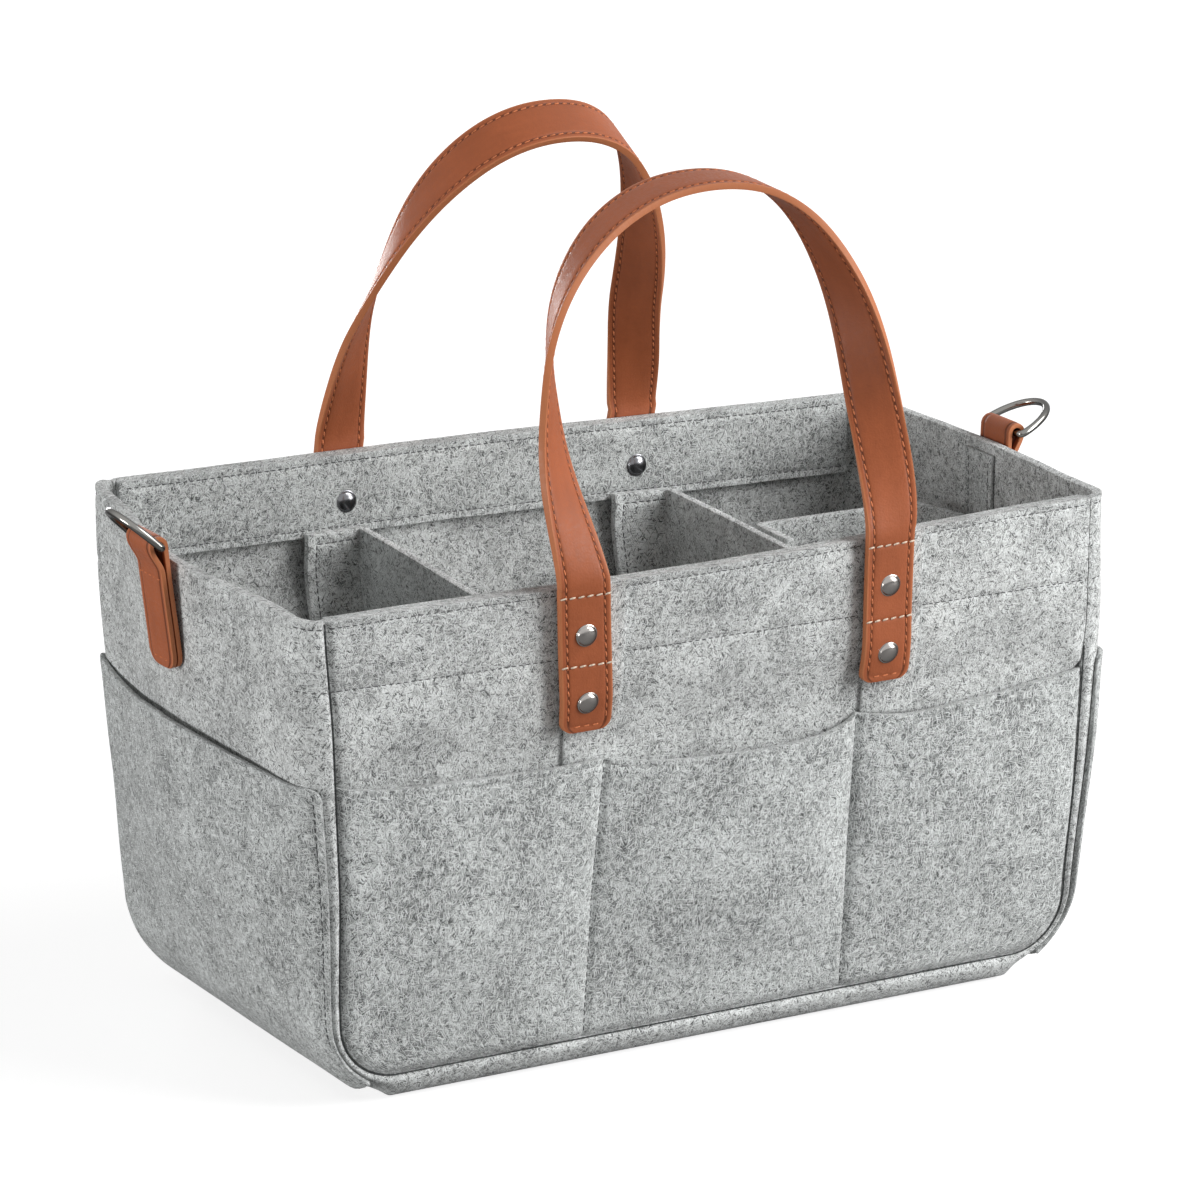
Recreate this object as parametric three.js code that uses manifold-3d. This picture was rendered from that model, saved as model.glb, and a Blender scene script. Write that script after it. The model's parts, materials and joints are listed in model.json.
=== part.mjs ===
// Felt organizer basket with two leather handles, a ring at each end,
// outer pockets all round and three inner dividers.
// Millimetres. X runs along the length, the front faces -Y and Z is up.
// The origin is the middle of the flat base.

import * as THREE from 'three';
import { mergeVertices } from 'three/addons/utils/BufferGeometryUtils.js';
import Module from 'manifold-3d';

const wasm = await Module();
wasm.setup();

// Basket
const rimLength = 360;
const rimDepth = 190;
const baseLength = 344;
const baseDepth = 178;
const rimHeight = 200;
const longBow = 7;            // outward swell of the front and back at the rim
const leftEndBow = 10.3;      // outward swell of each end at the rim
const rightEndBow = 3;
const uprightRadius = 12;     // the end band's edge, turned towards the front or back seam
const bottomRadius = 36;      // the end band's turn from an end into the base

// Felt
const wallFelt = 4;
const pocketFelt = 3;
const facingFelt = 3;
const stripFelt = 2.5;
const dividerFelt = 3.5;
const fit = 0.3;              // clearance between pieces that lie on each other

// Rim facing
const facingDepth = 34;

// Outer pockets
const pocketDividerX = 52;
const mouthDropAtSeam = 69;   // pocket mouths below the rim
const mouthDropAtDivider = 73;
const mouthDip = 3;
const pocketBulge = 8;
const pocketRise = 55;        // height over which a pocket opens from its bottom seam
const pocketFullness = 0.6;   // below 1 the pocket stands out evenly across its width
const tuckFade = 26;          // height over which the wall comes forward above the pockets
const endMouthDrop = 65;
const endMouthDip = 4;
const endPocketBulge = 8;
const endPocketWrap = 60;     // degrees round the upright corner

// Leather strap
const strapWidth = 24;
const strapThickness = 3.6;
const strapHalfSpan = 67;     // from the middle to a handle tab
const tabDrop = 62;           // the tab's end below the rim
const tabCorner = 5;
const stripBottomGap = 2;     // the felt strip ends above the pocket mouths
const stripTopGap = 1;
const stripCorner = 0.5;

// Handle loops: one curve for each, from the rim to the top
const handleAxisRise = 2.5;   // the bend line above the rim
const handleTwistHeight = 0.94;
const frontLoop = { spread: 10, shoulder: 82, crown: 61, height: 143, lean: 15 };
const backLoop = { spread: -2, shoulder: 91, crown: 50, height: 154, lean: 27 };

// Rivets
const rivetRadius = 4;
const rivetDome = 2.2;
const rivetRim = 0.8;
const rivetPost = 1.5;
const rivetShoulder = 0.75;   // how far out and up its dome a rivet's edge starts to turn down
const capDome = 1.2;
const upperRivetDrop = 20.5;
const lowerRivetDrop = 48.5;

// Rings and their tabs
const ringWire = 3;
const ringInnerWidth = 25;
const ringReach = 19;
const ringCorner = 1.6;
const leftRingTilt = 43;      // degrees above level, pointing away from the basket
const rightRingTilt = 23;
const loopLeather = 2.2;
const barClearance = 0.35;
const leftBarRise = 9;         // each ring bar above the rim
const rightBarRise = 3;
const leftRingTabDrop = 41;
const rightRingTabDrop = 45;
const ringTabCorner = 6;
const loopTaper = 11;
const endStripBottom = 60;
const endStripTopGap = 4;     // below the rim

// Dividers
const leftDividerX = -61;
const rightDividerX = 80;
const flangeWidth = 27;
const dividerBottom = 5;
const dividerTopGap = 0.5;    // below the rim facing
const hookFelt = 2;
const hookMargin = 3.5;
const hookBottom = 40;
const hookTopDrop = 12.5;     // hook tape below the lower rivets
const lengthDividerY = 23;
const lengthFlange = 27;
const lengthEndGap = 13;
const lengthFlangeSplay = 6;

// Worked out from the sizes above
const seamInset = uprightRadius + fit;
const tuckDepth = pocketFelt + fit;
const flangeGap = hookFelt + 2 * fit;
const stripOffset = fit + stripFelt;
const tabOffset = stripOffset + fit;
const mouthAtSeam = rimHeight - mouthDropAtSeam;
const mouthAtDivider = rimHeight - mouthDropAtDivider;
const endMouth = rimHeight - endMouthDrop;
const hookTop = rimHeight - lowerRivetDrop - rivetRadius - hookTopDrop;
const tuckEnd = mouthAtSeam + 1;
const dividerTop = rimHeight - facingDepth - dividerTopGap;
const rad = THREE.MathUtils.degToRad;

const felt = () => new THREE.MeshStandardMaterial({ color: 0xb4b6b5, roughness: 0.95, metalness: 0 });
const leather = () => new THREE.MeshStandardMaterial({ color: 0xb0643c, roughness: 0.55, metalness: 0 });
const darkMetal = () => new THREE.MeshStandardMaterial({ color: 0x56575a, roughness: 0.3, metalness: 1 });
const hookTape = () => new THREE.MeshStandardMaterial({ color: 0x8e908f, roughness: 0.9, metalness: 0 });

const basket = new THREE.Group();
const smooth = (t) => THREE.MathUtils.smoothstep(t, 0, 1);
const swell = (t) => (Math.abs(t) < 1 ? Math.cos(Math.PI * t / 2) ** 2 : 0);
const range = (n) => Array.from({ length: n + 1 }, (_, i) => i / n);
const between = (a, b, n) => range(n).map((t) => a + (b - a) * t);

// Felt surfaces

const halfLengthAt = (z) => (baseLength + (rimLength - baseLength) * z / rimHeight) / 2;
const halfDepthAt = (z) => (baseDepth + (rimDepth - baseDepth) * z / rimHeight) / 2;

// Distance of the front or back wall's outer face from the middle, without its tuck
function longFace(x, z) {
  const halfSpan = halfLengthAt(z) - uprightRadius;
  return halfDepthAt(z) + longBow * z / rimHeight * swell(x / halfSpan);
}

// The wall lies one pocket thickness deeper behind the pockets
const tuckAt = (z) => tuckDepth * smooth((tuckEnd + tuckFade - z) / tuckFade);
const tuckHeights = between(tuckEnd, tuckEnd + tuckFade, 4);

// Rows of points for a sheet on the wall, so that all of them bend at the same heights
const wallRows = (bottom, top) => [bottom, ...tuckHeights.filter((z) => z > bottom + fit && z < top - fit), top];
const wallFace = (x, z) => longFace(x, z) - tuckAt(z);

const cornerCentreX = halfLengthAt(bottomRadius) - bottomRadius;

// Half width of the front and back panels inside their seam
function panelHalfWidth(z) {
  if (z >= bottomRadius) return halfLengthAt(z) - seamInset;
  const r = bottomRadius - seamInset;
  return cornerCentreX + Math.sqrt(Math.max(0, r ** 2 - (bottomRadius - z) ** 2));
}

// Stations of the end band's outer profile, with the normal that points into the basket
const endBow = (side) => (side < 0 ? leftEndBow : rightEndBow);

function uprightStation(side, z) {
  const bow = endBow(side) * z / rimHeight;
  return { x: side * halfLengthAt(z), z, nx: -side, nz: 0, depth: halfDepthAt(z), bow };
}

function cornerStation(side, degrees) {
  const c = Math.cos(rad(degrees));
  const s = Math.sin(rad(degrees));
  const z = bottomRadius * (1 - s);
  const bow = endBow(side) * z / rimHeight * c;
  return { x: side * (cornerCentreX + bottomRadius * c), z, nx: -side * c, nz: s, depth: halfDepthAt(z), bow };
}

// Places across the band: flat from -1 to 1, or an angle round one of its turned edges
const flat = (t) => ({ t });
const turned = (edge, degrees) => ({ edge, degrees });

function bandPoint(station, across, offset) {
  const flatHalf = station.depth - uprightRadius;
  let y;
  let inward;
  if (across.edge === undefined) {
    y = across.t * flatHalf;
    inward = offset - station.bow * swell(across.t);
  } else {
    const r = uprightRadius - offset;
    y = across.edge * (flatHalf + r * Math.sin(rad(across.degrees)));
    inward = uprightRadius - r * Math.cos(rad(across.degrees));
  }
  return new THREE.Vector3(station.x + station.nx * inward, y, station.z + station.nz * inward);
}

// Mesh making

function signedVolume(positions, indices) {
  const [a, b, c] = [new THREE.Vector3(), new THREE.Vector3(), new THREE.Vector3()];
  let volume = 0;
  for (let i = 0; i < indices.length; i += 3) {
    a.fromArray(positions, 3 * indices[i]);
    b.fromArray(positions, 3 * indices[i + 1]);
    c.fromArray(positions, 3 * indices[i + 2]);
    volume += a.dot(b.cross(c)) / 6;
  }
  return volume;
}

function closedGeometry(points, triangles) {
  const positions = points.flatMap((p) => [p.x, p.y, p.z]);
  const indices = triangles.flat();
  if (signedVolume(positions, indices) < 0) {
    for (let i = 0; i < indices.length; i += 3) {
      [indices[i], indices[i + 1]] = [indices[i + 1], indices[i]];
    }
  }
  const geometry = new THREE.BufferGeometry();
  geometry.setAttribute('position', new THREE.Float32BufferAttribute(positions, 3));
  geometry.setIndex(indices);
  return geometry;
}

// A sheet of felt or leather between two faces, each given at a grid of places
function sheet(us, vs, outer, inner) {
  const nu = us.length;
  const nv = vs.length;
  const points = [];
  for (const face of [outer, inner]) {
    for (const v of vs) for (const u of us) points.push(face(u, v));
  }
  const at = (layer, i, j) => layer * nu * nv + j * nu + i;
  const triangles = [];
  const quad = (a, b, c, d) => triangles.push([a, b, c], [a, c, d]);
  for (let j = 0; j < nv - 1; j += 1) {
    for (let i = 0; i < nu - 1; i += 1) {
      quad(at(0, i, j), at(0, i + 1, j), at(0, i + 1, j + 1), at(0, i, j + 1));
      quad(at(1, i, j), at(1, i, j + 1), at(1, i + 1, j + 1), at(1, i + 1, j));
    }
  }
  for (let i = 0; i < nu - 1; i += 1) {
    quad(at(0, i, 0), at(1, i, 0), at(1, i + 1, 0), at(0, i + 1, 0));
    quad(at(0, i, nv - 1), at(0, i + 1, nv - 1), at(1, i + 1, nv - 1), at(1, i, nv - 1));
  }
  for (let j = 0; j < nv - 1; j += 1) {
    quad(at(0, 0, j), at(0, 0, j + 1), at(1, 0, j + 1), at(1, 0, j));
    quad(at(0, nu - 1, j), at(1, nu - 1, j), at(1, nu - 1, j + 1), at(0, nu - 1, j + 1));
  }
  return closedGeometry(points, triangles);
}

// A solid through like sections; flatOutline is the first one drawn flat, to fill both ends
function loft(sections, flatOutline) {
  const n = sections[0].length;
  const points = sections.flat();
  const triangles = [];
  for (let k = 0; k < sections.length - 1; k += 1) {
    for (let i = 0; i < n; i += 1) {
      const j = (i + 1) % n;
      triangles.push([k * n + i, k * n + j, (k + 1) * n + j], [k * n + i, (k + 1) * n + j, (k + 1) * n + i]);
    }
  }
  const last = (sections.length - 1) * n;
  for (const [a, b, c] of THREE.ShapeUtils.triangulateShape(flatOutline, [])) {
    triangles.push([a, c, b], [last + a, last + b, last + c]);
  }
  return closedGeometry(points, triangles);
}

function toSolid(geometry) {
  const plain = geometry.clone();
  plain.deleteAttribute('normal');
  plain.deleteAttribute('uv');
  const merged = mergeVertices(plain, 1e-4);
  return new wasm.Manifold(new wasm.Mesh({
    numProp: 3,
    vertProperties: new Float32Array(merged.attributes.position.array),
    triVerts: new Uint32Array(merged.index.array),
  }));
}

function toGeometry(solid) {
  const mesh = solid.getMesh();
  const geometry = new THREE.BufferGeometry();
  geometry.setAttribute('position', new THREE.BufferAttribute(mesh.vertProperties, 3));
  geometry.setIndex(new THREE.BufferAttribute(mesh.triVerts, 1));
  return geometry;
}

function cut(geometry, cutters) {
  let solid = toSolid(geometry);
  for (const cutter of cutters) solid = solid.subtract(toSolid(cutter));
  return toGeometry(solid);
}

function add(name, geometry, material, parent = basket) {
  const mesh = new THREE.Mesh(geometry, material);
  mesh.name = name;
  parent.add(mesh);
  return mesh;
}

// Front and back walls

const faces = { front: -1, back: 1 };
const tabSides = { left: -1, right: 1 };

// A sheet that lies on the front or back wall, from one offset into the basket to another
function wallSheet(side, xs, zs, xAt, outerOffset, innerOffset) {
  const place = (offset) => (u, z) => {
    const x = xAt(u, z);
    return new THREE.Vector3(x, side * (wallFace(x, z) - offset), z);
  };
  return sheet(xs, zs, place(outerOffset), place(innerOffset));
}

// The wall's own direction at a place, for what is set square to it
function wallNormal(side, x, z) {
  const step = 1;
  const dx = (wallFace(x + step, z) - wallFace(x - step, z)) / (2 * step);
  const dz = (wallFace(x, z + step) - wallFace(x, z - step)) / (2 * step);
  return new THREE.Vector3(-dx, side, -dz).normalize();
}

const rivetHeights = { upper: rimHeight - upperRivetDrop, lower: rimHeight - lowerRivetDrop };

function forEachRivet(side, visit) {
  for (const [tabSide, sign] of Object.entries(tabSides)) {
    for (const [row, z] of Object.entries(rivetHeights)) {
      const x = sign * strapHalfSpan;
      const foot = new THREE.Vector3(x, side * wallFace(x, z), z);
      visit({ tabSide, row, foot, normal: wallNormal(side, x, z) });
    }
  }
}

// Holes for the rivet posts, as rods that run through the whole wall
function rivetHoles(side) {
  const rods = [];
  const rodLength = 60;
  forEachRivet(side, ({ foot, normal }) => {
    const rod = new THREE.CylinderGeometry(rivetPost + fit, rivetPost + fit, rodLength, 10);
    rod.applyQuaternion(new THREE.Quaternion().setFromUnitVectors(new THREE.Vector3(0, 1, 0), normal));
    rod.translate(foot.x, foot.y, foot.z);
    rods.push(rod);
  });
  return rods;
}

const cornerHeights = range(5).map((t) => bottomRadius - (bottomRadius - seamInset) * Math.cos(t * Math.PI / 2));

function makePanel(side) {
  const xs = between(-1, 1, 12);
  const zs = [...cornerHeights, ...wallRows(bottomRadius, rimHeight).slice(1)];
  const panel = wallSheet(side, xs, zs, (u, z) => u * panelHalfWidth(z), 0, wallFelt);
  return cut(panel, rivetHoles(side));
}

function makeFacing(side) {
  const halfWidth = panelHalfWidth(rimHeight - facingDepth);
  const xs = between(-halfWidth, halfWidth, 10);
  const zs = [rimHeight - facingDepth, rimHeight];
  const facing = wallSheet(side, xs, zs, (x) => x, wallFelt + fit, wallFelt + fit + facingFelt);
  return cut(facing, rivetHoles(side));
}

// Three pockets in one panel, held down at the seam and at two stitched lines
function pocketPlace(u, z) {
  const x = u * panelHalfWidth(z);
  const outer = Math.abs(x) >= pocketDividerX;
  const [along, from, to] = outer
    ? [Math.abs(x), pocketDividerX, panelHalfWidth(z)]
    : [x, -pocketDividerX, pocketDividerX];
  return { x, outer, t: THREE.MathUtils.clamp((along - from) / (to - from), 0, 1) };
}

function mouthHeight({ t, outer }) {
  const ends = outer ? mouthAtDivider + (mouthAtSeam - mouthAtDivider) * t : mouthAtDivider;
  return ends - mouthDip * Math.sin(Math.PI * t);
}

function makePocketPanel(side) {
  const halfWidth = panelHalfWidth(mouthAtDivider);
  const xs = [...between(-halfWidth, -pocketDividerX, 7), ...between(-pocketDividerX, pocketDividerX, 7).slice(1),
    ...between(pocketDividerX, halfWidth, 7).slice(1)].map((x) => x / halfWidth);
  const levels = [...cornerHeights.map((z) => ({ z })), ...range(4).slice(1).map((rise) => ({ rise }))];
  const place = (thickness) => (u, level) => {
    const top = mouthHeight(pocketPlace(u, mouthAtDivider));
    const z = level.z ?? bottomRadius + (top - bottomRadius) * level.rise;
    const at = pocketPlace(u, z);
    const open = smooth((z - seamInset) / pocketRise) * Math.sin(Math.PI * at.t) ** pocketFullness;
    return new THREE.Vector3(at.x, side * (longFace(at.x, z) + pocketBulge * open - thickness), z);
  };
  return sheet(xs, levels, place(0), place(pocketFelt));
}

// Straps of felt or leather that hang down the outside of the wall, with rounded lower corners
function hangingStrap(side, x, bottom, top, corner, near, thickness) {
  const half = strapWidth / 2;
  const halfAt = (z) => {
    const below = Math.max(0, corner - (z - bottom));
    return half - corner + Math.sqrt(Math.max(0, corner ** 2 - below ** 2));
  };
  const zs = [...range(3).map((t) => bottom + corner * (1 - Math.cos(t * Math.PI / 2))),
    ...wallRows(bottom + corner, top).slice(1)];
  return wallSheet(side, between(-1, 1, 2), zs, (u, z) => x + u * halfAt(z), -near - thickness, -near);
}

function makeRivet(foot, normal) {
  const under = -(tabOffset + strapThickness + fit);
  const reach = wallFelt + (foot.z > rimHeight - facingDepth ? facingFelt + fit : 0);
  const profile = [[0, -reach], [rivetPost, -reach], [rivetPost, -under], [rivetRadius, -under],
    [rivetRadius, -under + rivetRim], [rivetRadius * rivetShoulder, -under + rivetDome * rivetShoulder],
    [0, -under + rivetDome]];
  return setOnWall(profile, foot, normal);
}

function makeRivetCap(foot, normal) {
  const under = wallFelt + fit + (foot.z > rimHeight - facingDepth ? facingFelt + fit : 0);
  const top = under + rivetRim + capDome;
  const profile = [[0, -top], [rivetRadius * rivetShoulder, -top + capDome * (1 - rivetShoulder)],
    [rivetRadius, -under - rivetRim], [rivetRadius, -under], [0, -under]];
  return setOnWall(profile, foot, normal);
}

// Turns a profile about the wall's normal; heights are measured out from the wall's face
function setOnWall(profile, foot, normal) {
  const turnedShape = new THREE.LatheGeometry(profile.map(([r, h]) => new THREE.Vector2(r, h)), 12);
  const geometry = toGeometry(toSolid(turnedShape));
  geometry.applyQuaternion(new THREE.Quaternion().setFromUnitVectors(new THREE.Vector3(0, 1, 0), normal));
  geometry.translate(foot.x, foot.y, foot.z);
  return geometry;
}

function buildWall(name, side) {
  add(`${name}_panel`, makePanel(side), felt());
  add(`${name}_pocket_panel`, makePocketPanel(side), felt());
  add(`${name}_rim_facing`, makeFacing(side), felt());
  const axisHeight = rimHeight + handleAxisRise;
  const tabTop = axisHeight - strapThickness / 2 - fit;
  const stripBottom = mouthAtDivider + stripBottomGap;
  for (const [tabSide, sign] of Object.entries(tabSides)) {
    const x = sign * strapHalfSpan;
    const stripTop = rimHeight - stripTopGap;
    const strip = hangingStrap(side, x, stripBottom, stripTop, stripCorner, fit, stripFelt);
    const tab = hangingStrap(side, x, rimHeight - tabDrop, tabTop, tabCorner, tabOffset, strapThickness);
    add(`${name}_${tabSide}_strip`, cut(strip, rivetHoles(side)), felt());
    add(`${name}_${tabSide}_handle_tab`, cut(tab, rivetHoles(side)), leather());
  }
  forEachRivet(side, ({ tabSide, row, foot, normal }) => {
    add(`${name}_${tabSide}_${row}_rivet`, makeRivet(foot, normal), darkMetal());
    add(`${name}_${tabSide}_${row}_rivet_cap`, makeRivetCap(foot, normal), darkMetal());
  });
}

// The band that makes both ends and the base

const cornerSteps = between(0, 90, 5).slice(1);
const flatSteps = between(-1, 1, 10).map(flat);

function makeEndBand() {
  const turnedSteps = [90, 60, 30];
  const across = [...turnedSteps.map((d) => turned(-1, d)), ...flatSteps,
    ...[...turnedSteps].reverse().map((d) => turned(1, d))];
  const uprights = [rimHeight, bottomRadius];
  const halfBand = (side) => [...uprights.map((z) => uprightStation(side, z)),
    ...cornerSteps.map((d) => cornerStation(side, d))];
  const face = (offset) => (a, station) => bandPoint(station, a, offset);
  return sheet(across, [...halfBand(-1), ...halfBand(1).reverse()], face(0), face(wallFelt));
}

function makeEndPocket(side) {
  const wrap = [endPocketWrap, endPocketWrap / 2];
  const across = [...wrap.map((d) => turned(-1, d)), ...flatSteps,
    ...[...wrap].reverse().map((d) => turned(1, d))];
  const thickness = fit + pocketFelt;
  const floorGap = 0.5;
  const lastAngle = THREE.MathUtils.radToDeg(Math.asin((bottomRadius - floorGap) / (bottomRadius + thickness)));
  const angles = [...cornerSteps.filter((angle) => angle < lastAngle), lastAngle];
  const levels = [...range(5).map((fall) => ({ fall })), ...angles.map((angle) => ({ angle }))];
  const face = (layer) => (a, level) => {
    const lobe = a.edge === undefined ? Math.max(0, Math.cos(Math.PI * a.t / 2)) ** pocketFullness : 0;
    const top = endMouth - endMouthDip * lobe;
    const height = top + (bottomRadius - top) * (level.fall ?? 1);
    const station = level.angle === undefined ? uprightStation(side, height) : cornerStation(side, level.angle);
    const open = level.angle === undefined ? lobe * smooth((height - bottomRadius) / pocketRise) : 0;
    return bandPoint(station, a, -(layer + endPocketBulge * open));
  };
  return sheet(across, levels, face(thickness), face(fit));
}

function buildEndBand() {
  add('end_and_base_band', makeEndBand(), felt());
  for (const [name, sign] of Object.entries(tabSides)) {
    add(`${name}_end_pocket`, makeEndPocket(sign), felt());
    add(`${name}_end_inner_strip`, makeEndStrip(sign), felt());
  }
}

// The strip that backs the ring tab inside each end
function makeEndStrip(side) {
  const half = strapWidth / 2;
  const place = (offset) => (y, z) => {
    const station = uprightStation(side, z);
    return bandPoint(station, flat(y / (station.depth - uprightRadius)), offset);
  };
  const zs = between(endStripBottom, rimHeight - endStripTopGap, 4);
  return sheet(between(-half, half, 2), zs, place(wallFelt + fit), place(wallFelt + fit + stripFelt));
}

// Ring tabs and rings

const endLean = (side) => Math.atan((halfLengthAt(rimHeight) + endBow(side) - halfLengthAt(0)) / rimHeight);
const loopRadius = ringWire / 2 + barClearance + loopLeather;
const barOut = fit + loopRadius;

// A folded strip of leather with the ring's bar in its fold
function makeRingTab(barHeight) {
  const front = fit + 2 * loopLeather;
  const outline = new THREE.Shape();
  outline.moveTo(fit, 0);
  outline.lineTo(front, 0);
  outline.lineTo(front, barHeight - loopTaper);
  outline.lineTo(barOut + loopRadius, barHeight);
  outline.absarc(barOut, barHeight, loopRadius, 0, Math.PI, false);
  outline.lineTo(fit, 0);
  const hole = new THREE.Path();
  hole.absarc(barOut, barHeight, ringWire / 2 + barClearance, 0, 2 * Math.PI, true);
  outline.holes.push(hole);
  const folded = new THREE.ExtrudeGeometry(outline, { depth: strapWidth, bevelEnabled: false, curveSegments: 8 });
  folded.translate(0, 0, -strapWidth / 2);
  folded.rotateX(Math.PI / 2);
  const half = strapWidth / 2;
  const top = barHeight + 2 * loopRadius;
  const corner = ringTabCorner;
  const blank = new THREE.Shape();
  blank.moveTo(-half, top);
  blank.lineTo(-half, corner);
  blank.absarc(-half + corner, corner, corner, Math.PI, 1.5 * Math.PI, false);
  blank.absarc(half - corner, corner, corner, 1.5 * Math.PI, 2 * Math.PI, false);
  blank.lineTo(half, top);
  const slab = new THREE.ExtrudeGeometry(blank, { depth: 4 * loopRadius, bevelEnabled: false, curveSegments: 5 });
  slab.rotateX(Math.PI / 2);
  slab.rotateZ(Math.PI / 2);
  slab.translate(-loopRadius, 0, 0);
  return toGeometry(toSolid(folded).intersect(toSolid(slab)));
}

// A D of round wire: its bar lies on Y at the origin and its bow reaches along X
function makeRing() {
  const half = (ringInnerWidth + ringWire) / 2;
  const path = [];
  for (const t of between(0, 1, 4)) path.push([0, (half - ringCorner) * (2 * t - 1)]);
  const corner = (sign, a) => [ringCorner * (1 - Math.cos(a)), sign * (half - ringCorner + ringCorner * Math.sin(a))];
  for (const a of [Math.PI / 6, Math.PI / 3, Math.PI / 2]) path.push(corner(1, a));
  for (const a of between(0, Math.PI, 14).slice(1, -1)) {
    path.push([ringCorner + (ringReach - ringCorner) * Math.sin(a), half * Math.cos(a)]);
  }
  for (const a of [Math.PI / 2, Math.PI / 3, Math.PI / 6]) path.push(corner(-1, a));
  const sides = 8;
  const n = path.length;
  const points = [];
  const triangles = [];
  for (let i = 0; i < n; i += 1) {
    const [x, y] = path[i];
    const [px, py] = path[(i + n - 1) % n];
    const [qx, qy] = path[(i + 1) % n];
    const across = new THREE.Vector3(qy - py, px - qx, 0).normalize();
    for (let k = 0; k < sides; k += 1) {
      const a = 2 * Math.PI * k / sides;
      const point = across.clone().multiplyScalar(Math.cos(a) * ringWire / 2);
      points.push(point.add(new THREE.Vector3(x, y, Math.sin(a) * ringWire / 2)));
      const j = (i + 1) % n;
      const m = (k + 1) % sides;
      triangles.push([i * sides + k, j * sides + k, j * sides + m], [i * sides + k, j * sides + m, i * sides + m]);
    }
  }
  return closedGeometry(points, triangles);
}

function buildRing(name, sign) {
  const end = new THREE.Group();
  const drop = sign < 0 ? leftRingTabDrop : rightRingTabDrop;
  const rise = sign < 0 ? leftBarRise : rightBarRise;
  const bottom = rimHeight - drop;
  const face = halfLengthAt(bottom) + endBow(sign) * bottom / rimHeight;
  const lean = endLean(sign);
  const tilt = rad(sign < 0 ? leftRingTilt : rightRingTilt);
  end.position.set(sign * face, 0, bottom);
  end.rotation.set(0, lean, sign > 0 ? 0 : Math.PI, 'ZYX');
  const barHeight = (drop + rise) / Math.cos(lean);
  add(`${name}_ring_tab`, makeRingTab(barHeight), leather(), end);
  const ring = add(`${name}_d_ring`, makeRing(), darkMetal(), end);
  ring.position.set(barOut, 0, barHeight);
  ring.rotation.y = -tilt - lean;
  basket.add(end);
}

// Handle loops

// Half of a loop's middle line as a curve, then its mirror image
function loopLine({ spread, shoulder, crown, height }, steps) {
  const curve = new THREE.CubicBezierCurve(
    new THREE.Vector2(-strapHalfSpan, 0),
    new THREE.Vector2(-strapHalfSpan - spread, shoulder),
    new THREE.Vector2(-crown, height),
    new THREE.Vector2(0, height),
  );
  const half = curve.getPoints(steps);
  const mirrored = half.slice(0, -1).reverse().map((p) => new THREE.Vector2(-p.x, p.y));
  return [...half, ...mirrored];
}

// The strap turns a quarter between the rim, where it lies flat on the wall, and its top
function makeLoop(shape) {
  const line = loopLine(shape, 18);
  const frontward = new THREE.Vector3(0, -1, 0);
  const section = (point, along, halfThickness) => {
    const twist = Math.PI / 2 * (1 - smooth(point.y / (handleTwistHeight * shape.height)));
    const outward = frontward.clone().cross(along);
    const across = frontward.clone().multiplyScalar(Math.cos(twist)).addScaledVector(outward, Math.sin(twist));
    const through = along.clone().cross(across).normalize();
    const centre = new THREE.Vector3(point.x, 0, point.y);
    return [[1, 1], [-1, 1], [-1, -1], [1, -1]].map(([w, t]) => centre.clone()
      .addScaledVector(across, w * strapWidth / 2)
      .addScaledVector(through, t * halfThickness));
  };
  const up = new THREE.Vector3(0, 0, 1);
  const down = new THREE.Vector3(0, 0, -1);
  const half = strapThickness / 2;
  const roundEnd = (x, along) => between(75, 25, 2).map((degrees) => {
    const foot = new THREE.Vector2(x, -half * Math.sin(rad(degrees)));
    return section(foot, along, half * Math.cos(rad(degrees)));
  });
  const body = line.map((point, i) => {
    const before = line[Math.max(0, i - 1)];
    const after = line[Math.min(line.length - 1, i + 1)];
    const isFoot = i === 0 || i === line.length - 1;
    const along = new THREE.Vector3(after.x - before.x, 0, after.y - before.y).normalize();
    return section(point, isFoot ? (i === 0 ? up : down) : along, half);
  });
  const sections = [...roundEnd(-strapHalfSpan, up), ...body, ...roundEnd(strapHalfSpan, down).reverse()];
  const flatOutline = [[1, 1], [-1, 1], [-1, -1], [1, -1]].map(([w, t]) => new THREE.Vector2(w, t));
  return loft(sections, flatOutline);
}

function buildHandle(name, side, shape) {
  const axisHeight = rimHeight + handleAxisRise;
  const middle = new THREE.Group();
  const out = wallFace(strapHalfSpan, axisHeight) + tabOffset + strapThickness / 2;
  middle.position.set(0, side * out, axisHeight);
  middle.rotation.x = side * rad(shape.lean);
  add(`${name}_handle_loop`, makeLoop(shape), leather(), middle);
  basket.add(middle);
}

// Inner dividers

const wallInside = (x, z) => wallFace(x, z) - wallFelt;
const bendBevel = 2;

// A cross divider: a plate between front and back, with a flange along each wall
function makeCrossDivider(plateX) {
  const right = plateX + dividerFelt / 2;
  const left = right - dividerFelt;
  const tip = right - flangeWidth;
  const edge = (x, z, inset) => wallInside(x, z) - flangeGap - inset;
  const half = [[right, bendBevel], [right - bendBevel, 0], [tip, 0], [tip, dividerFelt], [left, dividerFelt]];
  const zs = [...between(dividerBottom, tuckEnd, 4), ...wallRows(tuckEnd, dividerTop).slice(1)];
  const sections = zs.map((z) => {
    const back = half.map(([x, inset]) => new THREE.Vector3(x, edge(x, z, inset), z));
    const front = half.map(([x, inset]) => new THREE.Vector3(x, -edge(x, z, inset), z)).reverse();
    return [...back, ...front];
  });
  return loft(sections, sections[0].map((p) => new THREE.Vector2(p.x, p.y)));
}

function makeHook(side, plateX) {
  const tip = plateX + dividerFelt / 2 - flangeWidth;
  const near = wallFelt + fit;
  const xs = between(tip + hookMargin, plateX - hookMargin, 2);
  return wallSheet(side, xs, wallRows(hookBottom, hookTop), (x) => x, near, near + hookFelt);
}

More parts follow.
